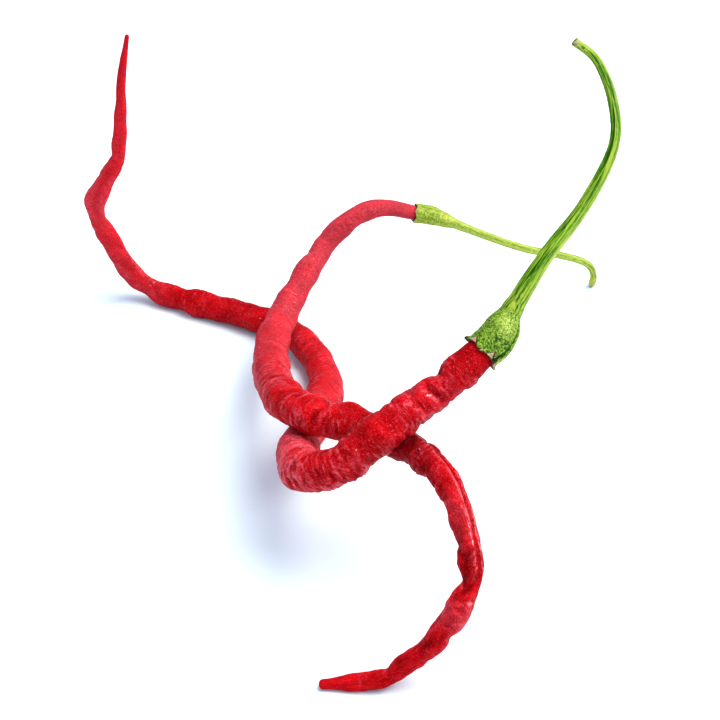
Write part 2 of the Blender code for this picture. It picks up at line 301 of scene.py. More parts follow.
class Route:
    """A smooth line through points, with cross directions that twist no more than they have to."""

    def __init__(self, points: Points) -> None:
        """Works out the line, its running length and its directions.

        Args:
            points: The points that the line passes through.
        """
        knots = np.array(points)
        held = np.vstack([2 * knots[:1] - knots[1:2], knots, 2 * knots[-1:] - knots[-2:-1]])
        t = (np.arange(SPANS_PER_POINT) / SPANS_PER_POINT)[:, None]
        spans = [self._span(*held[i : i + 4], t) for i in range(len(knots) - 1)]
        self.line = np.vstack([*spans, knots[-1:]])
        self.runs = np.concatenate([[0.0], np.cumsum(np.linalg.norm(np.diff(self.line, axis=0), axis=1))])
        self.length = float(self.runs[-1])
        ends = np.vstack([self.line[:1], self.line, self.line[-1:]])
        self.headings = unit(ends[2:] - ends[:-2])
        self.sides = self._carried_sides()

    @staticmethod
    def _span(before: Array, a: Array, b: Array, after: Array, t: Array) -> Array:
        """Points on the smooth span from a to b."""
        bend = (2 * before - 5 * a + 4 * b - after) * t**2 + (3 * a - before - 3 * b + after) * t**3
        return 0.5 * (2 * a + (b - before) * t + bend)

    def _carried_sides(self) -> Array:
        """One side direction carried along the line, square to it everywhere.

        Returns:
            The direction at each point of the line.
        """
        side = np.array(Vector(self.headings[0]).orthogonal().normalized())
        sides = []
        for heading in self.headings:
            side = unit(side - heading * side.dot(heading))
            sides.append(side)
        return np.array(sides)

    def frames(self, distance: Array) -> Frames:
        """The centres and directions at distances, also past either end.

        Args:
            distance: An array of any shape.

        Returns:
            Arrays of that shape with a last axis of three.
        """
        reach = np.clip(distance, 0.0, self.length)
        k = np.clip(np.searchsorted(self.runs, reach) - 1, 0, len(self.runs) - 2)
        t = ((reach - self.runs[k]) / (self.runs[k + 1] - self.runs[k]))[..., None]
        heading = unit(self.headings[k] * (1 - t) + self.headings[k + 1] * t)
        centre = self.line[k] * (1 - t) + self.line[k + 1] * t + heading * (distance - reach)[..., None]
        side = self.sides[k] * (1 - t) + self.sides[k + 1] * t
        side = unit(side - heading * np.sum(side * heading, axis=-1, keepdims=True))
        return Frames(centre, heading, side, np.cross(heading, side))

    def turn_of(self, side: Side, distance: Array) -> Array:
        """The turn round the line at which a surface faces a side, at each distance."""
        frames = self.frames(distance)
        return np.arctan2(frames.cross @ np.array(side.value), frames.side @ np.array(side.value))

    def inner_side(self, distance: Array, turns: Array, radius: Array) -> Array:
        """How much the skin is squeezed at a bend.

        Args:
            distance: Distances along the line.
            turns: Turns round it.
            radius: The skin's distance from it.

        Returns:
            Values from 0 on the outer side of a bend to 1 on a tight inner side.
        """
        after, before = self.frames(distance + 1.0), self.frames(distance - 1.0)
        here = self.frames(distance)
        bend = (after.heading - before.heading) / 2.0
        sideways, upwards = (np.sum(bend * way, axis=-1) for way in (here.side, here.cross))
        across = sideways * np.cos(turns) + upwards * np.sin(turns)
        return np.clip(across * radius * SQUEEZE, 0.0, 1.0)

    def swept(self, place: Array, turns: Array, radius: Array) -> Array:
        """The points of a tube round the line, kept above the table.

        Args:
            place: How far along the line each point lies.
            turns: Turns round it.
            radius: The distance of each point from the line.

        Returns:
            Points with the axes ring, side and coordinate.
        """
        frames = self.frames(place)
        outward = frames.side * np.cos(turns)[..., None] + frames.cross * np.sin(turns)[..., None]
        rings = frames.centre + outward * radius[..., None]
        rings[..., 2] = np.maximum(rings[..., 2], 0.0)
        return rings


@dataclass
class Piece:
    """A part of a chilli, with the solid that it stands for, its slot, its route, its widths and its seed."""

    name: str
    node: str
    slot: str
    points: Points
    girth: Pairs
    seed: int
    noise: Noise = field(init=False)
    route: Route = field(init=False)

    def __post_init__(self) -> None:
        """Draws the piece's own noise and works out its route."""
        self.noise = Noise(self.seed)
        self.route = Route(self.points)

    def _tube(self, start: float, rings: Array, layers: dict[str, Array]) -> bpy.types.Object:
        """A closed smooth mesh over rings of points, from a pole on the route to its end.

        Args:
            start: How far along the route the first pole lies.
            rings: Points with the axes ring, side and coordinate.
            layers: Values to keep on the points, with three for each point where they are places.

        Returns:
            The new object.
        """
        count, sides = rings.shape[:2]
        poles = [self.route.frames(np.array(at)).centre for at in (start, self.route.length)]
        points = np.vstack([poles[0], rings.reshape(-1, 3), poles[1]]) * MM
        index = 1 + np.arange(count * sides).reshape(count, sides)
        after = np.roll(index, -1, axis=1)
        quads = np.stack([index[:-1], after[:-1], after[1:], index[1:]], -1).reshape(-1, 4)
        first = np.stack([np.zeros(sides, int), after[0], index[0]], -1)
        last = np.stack([np.full(sides, len(points) - 1), index[-1], after[-1]], -1)
        mesh = bpy.data.meshes.new(self.name)
        mesh.from_pydata(points.tolist(), [], first.tolist() + quads.tolist() + last.tolist())
        for layer, values in layers.items():
            flat = values.reshape(count * sides, -1)
            flat = np.vstack([flat[:1], flat, flat[-1:]])
            kind, key = ("FLOAT_VECTOR", "vector") if flat.shape[1] == 3 else ("FLOAT", "value")
            mesh.attributes.new(layer, kind, "POINT").data.foreach_set(key, flat.astype(np.float32).ravel())
        mesh.shade_smooth()
        mesh.update()
        made = bpy.data.objects.new(self.name, mesh)
        bpy.context.collection.objects.link(made)
        return made

    def dress(self, piece: bpy.types.Object, material: bpy.types.Material) -> None:
        """Gives the piece its material and its place in the part.

        Args:
            piece: The new piece.
            material: Its material.
        """
        piece.data.materials.append(material)
        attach(piece, BODY)
        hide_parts(self.node)
        LOG.info("%s: %d faces for %s", piece.name, len(piece.data.polygons), self.node)


class Skin:
    """The main uneven form of one pod, as a factor on its radius."""

    def __init__(self, seed: int, dents: tuple[Dent, ...]) -> None:
        """Draws the phases of the waves.

        Args:
            seed: The seed of the draw.
            dents: The hollows and bulges that sit at fixed places.
        """
        draw = random.Random(seed)
        self.swells = [(length, share, draw.uniform(0, TAU)) for length, share in SWELLS]
        self.lobes = [(*lobe, draw.uniform(0, TAU)) for lobe in LOBES]
        self.knobs = [(*knob, draw.uniform(0, TAU), draw.uniform(0, TAU)) for knob in KNOBS]
        self.dents = dents

    def form(self, route: Route, distance: Array, turns: Array) -> Array:
        """The factor on the radius.

        Args:
            route: The line that the pod is swept along.
            distance: Distances along it.
            turns: Turns round it.

        Returns:
            The factor at each distance and turn.
        """
        total = np.zeros(np.broadcast_shapes(distance.shape, turns.shape))
        for length, share, phase in self.swells:
            total += share * np.cos(TAU * distance / length + phase)
        for count, share, twist, phase in self.lobes:
            total += share * np.cos(count * turns + twist * distance + phase)
        for count, length, share, phase, start in self.knobs:
            total += share * np.cos(TAU * distance / length + phase) * np.cos(count * turns + start)
        total *= ramp(distance, *WAVES_FADE_IN)
        for dent in self.dents:
            angle = wrapped(turns - route.turn_of(dent.side, distance))
            total -= dent.depth * bell(distance - dent.at, dent.reach) * bell(angle, dent.arc)
        return 1.0 + total


@dataclass(frozen=True)
class Grit:
    """Noise that darkens a colour where it is low and brightens it where it is high."""

    dark: Band
    dark_share: float
    light: Band
    light_share: float
    scale: float = 1.0
    detail: float = 2.0
    roughness: float = 0.55
    stretch: Vec = (1.0, 1.0, 1.0)


CREPE = Grit((0.48, 0.30), 0.65, (0.56, 0.72), 0.7, detail=4.0, roughness=0.62, stretch=(0.34, 0.34, 1.7))
SKIN_GRIT = Grit((0.48, 0.30), 0.58, (0.54, 0.72), 0.34, scale=3.4, roughness=0.6)
STALK_DOTS = Grit((0.48, 0.38), 0.9, (0.54, 0.62), 0.85, scale=3.3, roughness=0.5)
FIBRES = Grit((0.48, 0.40), 1.0, (0.50, 0.60), 1.0, stretch=(3.2, 3.2, 0.4))


class Graph:
    """A node tree with short ways to add nodes and join them."""

    def __init__(self, tree: bpy.types.NodeTree) -> None:
        """Keeps the tree."""
        self.tree = tree

    def fill(self, node: bpy.types.Node, inputs: dict[str | int, object]) -> None:
        """Sets or joins inputs of a node.

        Args:
            node: The node.
            inputs: Values or sockets, by the input's name or number.
        """
        for key, value in inputs.items():
            if isinstance(value, bpy.types.NodeSocket):
                self.tree.links.new(value, node.inputs[key])
            else:
                node.inputs[key].default_value = value

    def add(
        self, kind: str, inputs: dict[str | int, object] | None = None, **settings: object
    ) -> bpy.types.Node:
        """Adds a node.

        Args:
            kind: The node's type.
            inputs: Values or sockets for its inputs, by name or number.
            **settings: The node's own properties.

        Returns:
            The new node.
        """
        node = self.tree.nodes.new(kind)
        for key, value in settings.items():
            setattr(node, key, value)
        self.fill(node, inputs or {})
        return node

    def blend(self, factor: Socket | float, low: object, high: object) -> Socket:
        """The colour between low and high."""
        return self.add("ShaderNodeMix", {0: factor, 6: low, 7: high}, data_type="RGBA").outputs[2]

    def compute(self, operation: str, first: object, second: object, clamp: bool = False) -> Socket:
        """The result of one piece of arithmetic."""
        node = self.add("ShaderNodeMath", {0: first, 1: second}, operation=operation, use_clamp=clamp)
        return node.outputs[0]

    def plus(self, first: object, second: object) -> Socket:
        """The sum of sockets or numbers."""
        return self.compute("ADD", first, second)

    def times(self, first: object, *others: object) -> Socket:
        """Multiplies sockets and numbers.

        Args:
            first: The first of them.
            *others: The rest, in the order in which they are multiplied.

        Returns:
            The product.
        """
        for other in others:
            first = self.compute("MULTIPLY", first, other)
        return first

    def band(self, value: Socket, low: float, high: float) -> Socket:
        """A smooth step from 0 at low to 1 at high."""
        step = {"Value": value, "From Min": low, "From Max": high}
        return self.add("ShaderNodeMapRange", step, interpolation_type="SMOOTHSTEP").outputs["Result"]

    def noise(self, place: Socket, scale: float, detail: float = 3.0, roughness: float = 0.55) -> Socket:
        """The value of a noise texture at a place."""
        inputs = {"Vector": place, "Scale": scale, "Detail": detail, "Roughness": roughness}
        return self.add("ShaderNodeTexNoise", inputs).outputs["Fac"]

    def stretched(self, place: Socket, scale: Vec) -> Socket:
        """A place with its axes scaled."""
        return self.add("ShaderNodeMapping", {"Vector": place, "Scale": scale}).outputs[0]

    def layer(self, name: str, output: str = "Fac") -> Socket:
        """A value that the mesh keeps on its points."""
        return self.add("ShaderNodeAttribute", attribute_name=name).outputs[output]

    def height(self, grit: Grit, place: Socket) -> Socket:
        """The noise that some grit follows."""
        return self.noise(self.stretched(place, grit.stretch), grit.scale, grit.detail, grit.roughness)

    def gritted(self, colour: Socket, grit: Grit, height: Socket, ends: tuple[Colour, Colour],
                amounts: tuple[object, object] = (1.0, 1.0)) -> Socket:
        """A colour with grit over it.

        Args:
            colour: The colour under the grit.
            grit: The kind of grit.
            height: The noise that it follows.
            ends: The dark and the bright colour.
            amounts: How much of each there is.

        Returns:
            The gritty colour.
        """
        dark = self.times(self.band(height, *grit.dark), grit.dark_share, amounts[0])
        light = self.times(self.band(height, *grit.light), grit.light_share, amounts[1])
        return self.blend(light, self.blend(dark, colour, ends[0]), ends[1])

    def painted(self, colour: Socket, coats: tuple[tuple[Socket, float, Colour], ...]) -> Socket:
        """A colour under coats of others.

        Args:
            colour: The colour underneath.
            coats: The mask, the share and the colour of each coat.

        Returns:
            The colour on top.
        """
        for mask, share, coat in coats:
            colour = self.blend(self.compute("MULTIPLY", mask, share, clamp=True), colour, coat)
        return colour


def new_group(name: str, inputs: dict[str, object], outputs: dict[str, str]) -> Graph:
    """Starts a group of nodes.

    Args:
        name: The group's name.
        inputs: The default of each input: a number, a colour, or None for a place.
        outputs: The kind of each output: Float, Vector or Color.

    Returns:
        The group's graph, with nodes called in and out at its ends.
    """
    tree = bpy.data.node_groups.new(name, "ShaderNodeTree")
    for label, default in inputs.items():
        kind = {float: "Float", tuple: "Color"}.get(type(default), "Vector")
        socket = tree.interface.new_socket(label, in_out="INPUT", socket_type=f"NodeSocket{kind}")
        if default is not None:
            socket.default_value = default
    for label, kind in outputs.items():
        tree.interface.new_socket(label, in_out="OUTPUT", socket_type=f"NodeSocket{kind}")
    graph = Graph(tree)
    graph.add("NodeGroupInput", name="in")
    graph.add("NodeGroupOutput", name="out")
    return graph


def grain_group() -> bpy.types.NodeTree:
    """Two sizes of grain that roughen a surface.

    Returns:
        A group that takes a place, a scale and a depth, and gives a mask and a normal.
    """
    finer, fine_share, depth = 3.1, 0.35, 0.32
    inputs = {"Place": None, "Scale": 1.0, "Depth": 0.5}
    graph = new_group("fine_grain", inputs, {"Mask": "Float", "Normal": "Vector"})
    given = graph.tree.nodes["in"].outputs
    coarse = graph.noise(given["Place"], given["Scale"], 4.0, 0.5)
    fine = graph.noise(given["Place"], graph.times(given["Scale"], finer), 2.0, 0.5)
    height = graph.plus(coarse, graph.times(fine, fine_share))
    bump = graph.add("ShaderNodeBump", {"Height": height, "Strength": given["Depth"], "Distance": depth * MM})
    graph.fill(graph.tree.nodes["out"], {"Mask": coarse, "Normal": bump.outputs["Normal"]})
    return graph.tree


def mottle_group() -> bpy.types.NodeTree:
    """Soft patches of two colours.

    Returns:
        A group that takes a place, a scale and two colours, and gives the mottled colour.
    """
    low, high = 0.36, 0.64
    inputs = {"Place": None, "Scale": 1.0, "Low": (0.0, 0.0, 0.0, 1.0), "High": (1.0, 1.0, 1.0, 1.0)}
    graph = new_group("mottle", inputs,
                      {"Colour": "Color"})
    given = graph.tree.nodes["in"].outputs
    share = graph.band(graph.noise(given["Place"], given["Scale"], 5.0, 0.62), low, high)
    graph.fill(graph.tree.nodes["out"], {"Colour": graph.blend(share, given["Low"], given["High"])})
    return graph.tree


@dataclass(frozen=True)
class Effects:
    """The groups of nodes that more than one finish uses."""

    grain: bpy.types.NodeTree
    mottle: bpy.types.NodeTree


def new_material(name: str) -> tuple[bpy.types.Material, Graph, bpy.types.Node]:
    """Starts a material.

    Args:
        name: The material's name.

    Returns:
        The material, its graph and its shader.
    """
    material = bpy.data.materials.new(name)
    material.use_nodes = True
    return material, Graph(material.node_tree), material.node_tree.nodes["Principled BSDF"]


@dataclass(frozen=True)
class Finish:
    """What a skin's and a stalk's finish share: grain, gloss and light that passes through a little."""

    name: str
    roughness: float
    grain_scale: float
    grain_depth: float
    specular: float
    scatter: float
    scatter_reach: Vec
    scatter_scale: float

    def surface(self, graph: Graph, shader: bpy.types.Node, effects: Effects, place: Socket) -> bpy.types.Node:
        """Gives the shader its gloss and scattered light, and adds the grain.

        Args:
            graph: The material's graph.
            shader: Its shader.
            effects: The shared groups.
            place: The place on the surface.

        Returns:
            The node with the grain's mask and normal.
        """
        given = {"Place": place, "Scale": self.grain_scale, "Depth": self.grain_depth}
        grain = graph.add("ShaderNodeGroup", given, node_tree=effects.grain)
        graph.fill(shader, {
            "Roughness": graph.plus(
                graph.times(grain.outputs["Mask"], GLOSS_SPREAD), self.roughness - GLOSS_SPREAD / 2
            ),
            "Specular IOR Level": self.specular,
            "Subsurface Weight": self.scatter,
            "Subsurface Radius": self.scatter_reach,
            "Subsurface Scale": self.scatter_scale * MM,
        })
        return grain


@dataclass(frozen=True)
class PodFinish(Finish):
    """The waxy red skin of a pod: painted crimson shade in its folds, painted brighter highlights on its crests,
    painted shade and sheen along it, with pale pin specks.
    """

    roughness: float = 0.32
    grain_scale: float = 2.3
    grain_depth: float = 0.9
    specular: float = 0.02
    scatter: float = 0.05
    scatter_reach: Vec = (1.0, 0.15, 0.1)
    scatter_scale: float = 0.6
    # Bright red: the bright end of the random mottle, and a painted highlight on raised skin
    crest: Colour = (0.66, 0.004, 0.010, 1.0)
    body: Colour = (0.42, 0.000, 0.002, 1.0)
    # Painted crimson shade in the folds
    fold: Colour = (0.25, 0.000, 0.002, 1.0)
    # Painted shade along darker stretches of the pod
    painted_shade_crimson: Colour = (0.16, 0.000, 0.002, 1.0)
    # Painted pink sheen along paler stretches of the pod
    painted_sheen_pink: Colour = (0.76, 0.165, 0.205, 1.0)
    tip: Colour = (0.96, 0.008, 0.020, 1.0)
    # Painted shade in wrinkle valleys and furrow grooves, and the dark end of the skin's grain
    valley: Colour = (0.22, 0.000, 0.002, 1.0)
    # Painted pink highlight on wrinkle ridges and beside creases, and the bright end of the skin's grain
    ridge: Colour = (0.88, 0.155, 0.190, 1.0)
    speck: Colour = (0.95, 0.38, 0.30, 1.0)
    patch_scale: float = 0.22
    crepe_depth: float = 0.3
    wax_roughness: float = 0.2
    wax_gaps: Band = (0.72, 0.95)
    least_wax: float = 0.25

    def make(self, effects: Effects) -> bpy.types.Material:
        """Builds the material.

        Args:
            effects: The shared groups.

        Returns:
            The new material.
        """
        material, graph, shader = new_material(self.name)
        place = graph.layer("rest", "Vector")
        grain = self.surface(graph, shader, effects, place)
        crepe = graph.height(CREPE, place)
        # Painted highlight lines beside the creases and on the furrows' banks, broken up by noise
        line = graph.times(graph.compute("MAXIMUM", graph.layer("line"), 0.0),
                           graph.band(graph.noise(place, 0.9), 0.38, 0.62))
        bump = graph.add("ShaderNodeBump", {"Height": crepe, "Strength": graph.layer("crepe"),
                                            "Distance": self.crepe_depth * MM, "Normal": grain.outputs["Normal"]})
        graph.fill(shader, {
            "Base Color": self._colour(graph, effects, place, line, crepe),
            "Normal": bump.outputs["Normal"],
            "Coat Weight": self._wax(graph, grain.outputs["Mask"], line, crepe),
            "Coat Roughness": self.wax_roughness,
        })
        return material

    def _colour(self, graph: Graph, effects: Effects, place: Socket, line: Socket, crepe: Socket) -> Socket:
        """The colour of the skin.

        Args:
            graph: The material's graph.
            effects: The shared groups.
            place: The place on the unrolled skin.
            line: The painted highlight lines beside the folds.
            crepe: The height of the wrinkles that are finer than the mesh.

        Returns:
            The colour.
        """
        relief, wrinkle, painted_shade_sheen, amount = (graph.layer(name) for name in ("relief", "wrinkle", "painted_shade_sheen", "crepe"))
        given = {"Place": place, "Scale": self.patch_scale, "Low": self.body, "High": self.crest}
        mottled = graph.add("ShaderNodeGroup", given, node_tree=effects.mottle).outputs["Colour"]
        # Over the random mottle: painted highlight on raised skin and wrinkle ridges, painted shade in folds and
        # wrinkle valleys, painted shade and sheen along the pod, painted shade in furrow grooves and painted
        # highlight lines beside creases
        colour = graph.painted(mottled, (
            (graph.band(relief, 0.25, 1.0), 1.0, self.crest),
            (graph.band(relief, -0.1, -0.85), 1.0, self.fold),
            (graph.layer("thin"), 1.0, self.tip),
            (graph.band(wrinkle, 0.1, -0.5), 0.6, self.valley),
            (graph.band(wrinkle, 0.35, 0.95), 0.5, self.ridge),
            (painted_shade_sheen, -1.0, self.painted_shade_crimson),
            (painted_shade_sheen, 0.55, self.painted_sheen_pink),
            (graph.layer("line"), -0.85, self.valley),
            (line, 0.75, self.ridge),
        ))
        ends = (self.valley, self.ridge)
        # Painted shade in the lows and painted highlight on the highs of the finest wrinkles, then the skin's own
        # grain
        colour = graph.gritted(colour, CREPE, crepe, ends, (amount, graph.times(amount, amount)))
        colour = graph.gritted(colour, SKIN_GRIT, graph.height(SKIN_GRIT, place), ends)
        return graph.painted(colour, ((self._specks(graph, place), 0.75, self.speck),))

    def _wax(self, graph: Graph, mask: Socket, line: Socket, crepe: Socket) -> Socket:
        """How strongly the wax shines: most on raised skin, broken up by the grain and dull where the painted
        sheen is strong.

        Args:
            graph: The material's graph.
            mask: The grain's mask.
            line: The painted highlight lines beside the folds.
            crepe: The height of the finest wrinkles.

        Returns:
            The weight of the coat.
        """
        raised = graph.plus(graph.plus(graph.times(graph.layer("relief"), 0.5), graph.layer("wrinkle")), line)
        shown = graph.band(graph.plus(mask, graph.times(crepe, 0.6)), *self.wax_gaps)
        broken = graph.plus(graph.times(shown, 1 - self.least_wax), self.least_wax)
        return graph.times(graph.band(raised, -0.1, 1.1), broken, graph.band(graph.layer("painted_shade_sheen"), 0.6, 0.2))

    @staticmethod
    def _specks(graph: Graph, place: Socket) -> Socket:
        """A mask of sparse pin specks, a little longer along the pod.

        Args:
            graph: The material's graph.
            place: The place on the unrolled skin.

        Returns:
            The mask.
        """
        edge, middle, kept = 0.06, 0.035, 0.6
        squeezed = graph.stretched(place, (0.36, 0.36, 0.2))
        cells = graph.add("ShaderNodeTexVoronoi", {"Vector": squeezed, "Scale": 1.0})
        drawn = graph.add("ShaderNodeSeparateColor", {"Color": cells.outputs["Color"]}).outputs["Red"]
        near = graph.band(cells.outputs["Distance"], edge, middle)
        return graph.times(near, graph.compute("GREATER_THAN", drawn, kept))


@dataclass(frozen=True)
class StalkFinish(Finish):
    """The green of a stalk and its calyx: painted dark shade in the grooves, painted yellow-green highlights on
    the ridges, tan where dry.
    """

    roughness: float = 0.5
    grain_scale: float = 2.6
    grain_depth: float = 0.8
    specular: float = 0.10
    scatter: float = 0.06
    scatter_reach: Vec = (0.6, 1.0, 0.2)
    scatter_scale: float = 0.5
    # Yellow-green: the bright end of the mottle, and a painted highlight on raised ribs
    ridge: Colour = (0.36, 0.50, 0.055, 1.0)
    flank: Colour = (0.10, 0.24, 0.008, 1.0)
    # Dark green: the dark end of the mottle, dots and fibres, and painted shade in the grooves
    groove: Colour = (0.010, 0.062, 0.000, 1.0)
    # Pale yellow-green: the bright end of the dots, the pale cut end, and a painted highlight on the calyx's
    # shoulder, raised ribs and lit side
    pale: Colour = (0.50, 0.60, 0.12, 1.0)
    # Painted highlight on the stalk's lit right side
    painted_lit_side: Colour = (0.80, 0.76, 0.24, 1.0)
    fresh: Colour = (0.075, 0.29, 0.000, 1.0)
    fibre: Colour = (0.46, 0.53, 0.060, 1.0)
    dry: Colour = (0.50, 0.34, 0.20, 1.0)
    # Near black: scorch marks, and painted shade in the calyx's hollow and in a notch of its rim
    scorched_and_shade: Colour = (0.045, 0.022, 0.012, 1.0)
    mottle_scale: float = 1.9
    dotted: float = 0.7
    fibres: float = 0.8

    def make(self, effects: Effects) -> bpy.types.Material:
        """Builds the material.

        Args:
            effects: The shared groups.

        Returns:
            The new material.
        """
        material, graph, shader = new_material(self.name)
        place = graph.layer("rest", "Vector")
        grain = self.surface(graph, shader, effects, place)
        given = {"Place": place, "Scale": self.mottle_scale, "Low": self.groove, "High": self.ridge}
        colour = graph.add("ShaderNodeGroup", given, node_tree=effects.mottle).outputs["Colour"]
        colour = graph.gritted(colour, STALK_DOTS, graph.height(STALK_DOTS, place), (self.groove, self.pale))
        relief = graph.layer("relief")
        # Painted highlight on the raised ribs and painted shade in the grooves, then the fresh green
        colour = graph.painted(graph.blend(self.dotted, self.flank, colour), (
            (graph.band(relief, 0.15, 0.95), 0.75, self.ridge),
            (graph.band(relief, 0.0, -0.75), 0.85, self.groove),
            (graph.layer("fresh"), 0.6, self.fresh),
        ))
        amount = graph.times(graph.layer("fibre"), self.fibres)
        strands = graph.height(FIBRES, place)
        colour = graph.gritted(colour, FIBRES, strands, (self.groove, self.fibre), (amount, amount))
        broken = graph.band(graph.noise(place, 3.6, 2.0), 0.40, 0.56)
        # The pale layer: painted highlight on the calyx's shoulder, raised ribs and lit side, and the pale cut
        # end; then the painted highlight on the stalk's lit side, the dry marks, and the scorch marks with
        # painted shade
        colour = graph.painted(colour, (
            (graph.times(graph.layer("pale"), broken), 1.0, self.pale),
            (graph.layer("painted_lit_side"), 0.75, self.painted_lit_side),
            (graph.layer(Mark.DRY.value), 1.0, self.dry),
            (graph.layer(Mark.SCORCHED_AND_SHADE.value), 1.0, self.scorched_and_shade),
        ))
        graph.fill(shader, {"Base Color": colour, "Normal": grain.outputs["Normal"]})
        return material


@dataclass
class Pod(Piece):
    """One red pod."""

    dents: tuple[Dent, ...]
    creases: tuple[Crease, ...]
    crumples: tuple[Crumple, ...]
    furrows: tuple[Furrow, ...]
    # Painted shade (below zero) and painted pink sheen (above zero) at distances along the pod
    painted_shade_sheen_steps: Pairs
    shoulder_cap: float
    tip_cap: float
    folded_from: float
    thin_from: float
    ring_step: float = 0.24
    sides: int = 92
    cap_rings: int = 10
    distance: Array = field(init=False)
    turns: Array = field(init=False)

    def __post_init__(self) -> None:
        """Works out where the rings lie and the turns round them."""
        super().__post_init__()
        length = self.route.length
        self.distance = np.concatenate([
            cap_distances(self.shoulder_cap, self.cap_rings),
            spaced(self.shoulder_cap, length - self.tip_cap, self.ring_step),
            length - cap_distances(self.tip_cap, self.cap_rings)[::-1],
        ])[:, None]
        self.turns = even_turns(self.sides)

    def build(self) -> bpy.types.Object:
        """Makes the pod's mesh.

        Returns:
            The new object.
        """
        distance, turns = self.distance, self.turns
        ends = rounding(distance, self.shoulder_cap) * rounding(self.route.length - distance, self.tip_cap)
        full = eased(self.girth, distance) / 2
        start = ramp(distance, *FOLDS_FADE_IN) * ends * np.clip(full / FULL_FOLD_RADIUS, LEAST_FOLDS, 1.0)
        folds, lines = self._folds()
        folds = folds * start
        folds = np.where(folds < 0.0, DEEPEST_FOLD * np.tanh(folds / DEEPEST_FOLD), folds)
        wrinkles = self._wrinkles() * start
        fine = wrinkles + sum(self._sample(lump) for lump in LUMPS) * self._zoned("lumps") * start
        furrows, banks = self._furrows()
        furrows = furrows * full * ends
        form = Skin(self.seed, self.dents).form(self.route, distance, turns)
        radius = full * ends * form + fine + folds - furrows
        around = np.broadcast_to(distance, radius.shape)
        level = np.ones_like(around)
        across = (UNROLLED_RADIUS * np.cos(turns) * level, UNROLLED_RADIUS * np.sin(turns) * level)
        relief = np.clip((fine + folds - 0.3 * furrows) / DEEPEST_FOLD, -1.0, 1.0)
        return self._tube(0.0, self.route.swept(distance, turns, radius), {
            "rest": np.stack([*across, around], -1),
            "relief": relief,
            "wrinkle": np.clip(wrinkles / 0.16, -1.0, 1.0),
            # Brighter red toward the thin end, weaker in folds and stronger on raised skin as painted shade and
            # highlight
            "thin": 0.8 * ramp(around, self.thin_from, self.thin_from + THIN_OVER) * (0.75 + 0.25 * relief),
            # Painted shade below zero and painted pink sheen above zero, along the pod
            "painted_shade_sheen": eased(self.painted_shade_sheen_steps, distance) * level,
            # Painted highlight lines beside creases and on furrow banks, painted shade in furrow grooves
            "line": np.clip(lines + banks, -1.0, 1.0) * start,
            "crepe": np.clip(self._zoned("wrinkles") / 1.6, 0.0, 1.0) * level,
        })

    def _sample(self, waves: Waves, drift: Array | float = 0.0) -> Array:
        """Noise on the skin.

        Args:
            waves: The kind of noise.
            drift: How far its places are moved along the pod.

        Returns:
            The noise at every point of the skin.
        """
        shift = (waves.shift, 2 * waves.shift)
        along = (self.distance + drift) / waves.along
        return waves.strength * self.noise.round_tube(UNROLLED_RADIUS / waves.around, self.turns, along, shift)

    def _folds(self) -> tuple[Array, Array]:
        """The creases that sit at chosen places and the scattered small ones.

        Returns:
            Their heights, and the painted highlight lines on their far sides.
        """
        heights = np.zeros((len(self.distance), self.sides))
        lines = np.zeros_like(heights)
        for crease in self.creases:
            self._press(heights, lines, crease, float(self.route.turn_of(crease.side, np.array(crease.at))))
        draw = random.Random(self.seed + 1)
        for zone in self.crumples:
            at = zone.start
            while at < zone.end:
                turn = draw.uniform(-math.pi, math.pi)
                radius = np.interp(at, *zip(*self.girth)) / 2
                squeeze = float(self.route.inner_side(np.array(at), np.array(turn), radius))
                depth = zone.depth * draw.uniform(0.3, 1.0) * (0.7 + 0.8 * squeeze)
                arc = zone.arc * draw.uniform(0.45, 1.6)
                width = draw.uniform(0.22, 0.5)
                slant = draw.uniform(-zone.slant, zone.slant)
                self._press(heights, lines, Crease(Side.UP, at, arc, width, depth, slant), turn)
                at += zone.spacing * draw.uniform(0.35, 1.65)
        return heights, lines

    def _press(self, heights: Array, lines: Array, crease: Crease, turn: float) -> None:
        """Presses one crease into the skin, with a soft rise on both its sides, and draws its painted highlight
        line.

        Args:
            heights: The heights that it changes.
            lines: The painted highlight lines that it adds to.
            crease: Its place along the pod and its form.
            turn: The turn at its middle.
        """
        arc, width = crease.arc, crease.width
        reach = 6.0 * width + abs(crease.slant) * 2.0 * arc + 0.5
        first, last = np.searchsorted(self.distance[:, 0], [crease.at - reach, crease.at + reach])
        angle = wrapped(self.turns - turn)
        bow = crease.slant * angle + 0.35 * width * np.sin(5.0 * angle / arc)
        along = (self.distance[first:last] - crease.at - bow) / width
        window = np.exp(-((angle / arc) ** 4))
        valley = np.exp(-np.abs(along) ** 1.5)
        rise = 0.45 * bell(np.abs(along) - 2.0, 1.4)
        heights[first:last] += crease.depth * (rise - valley) * window
        line = bell(along - 1.6, 0.6) * window * min(crease.depth / 0.2, 1.0)
        lines[first:last] = np.maximum(lines[first:last], line)

    def _wrinkles(self) -> Array:
        """Fine wrinkles that run round the pod, fork and fade.

        Returns:
            Their heights.
        """
        drift = self._sample(WRINKLE_DRIFT)
        height = sum(share * (1 - 2.4 * np.abs(self._sample(waves, drift))) for waves, share in WRINKLE_SETS)
        patches = np.clip(0.6 + self._sample(WRINKLE_PATCHES), 0.2, 1.1)
        return height * patches * self._zoned("wrinkles") + self._sample(WRINKLE_GRAIN)

    def _zoned(self, quantity: str) -> Array:
        """A quantity of the crumpled stretches along the pod.

        Args:
            quantity: The name of the Crumple's field.

        Returns:
            Its value at each distance.
        """
        total = np.zeros_like(self.distance)
        for zone in self.crumples:
            limits = (zone.start, zone.end)
            risen, fallen = (ramp(self.distance, at - ZONE_BLUR, at + ZONE_BLUR) for at in limits)
            total = total + getattr(zone, quantity) * (risen - fallen)
        return total

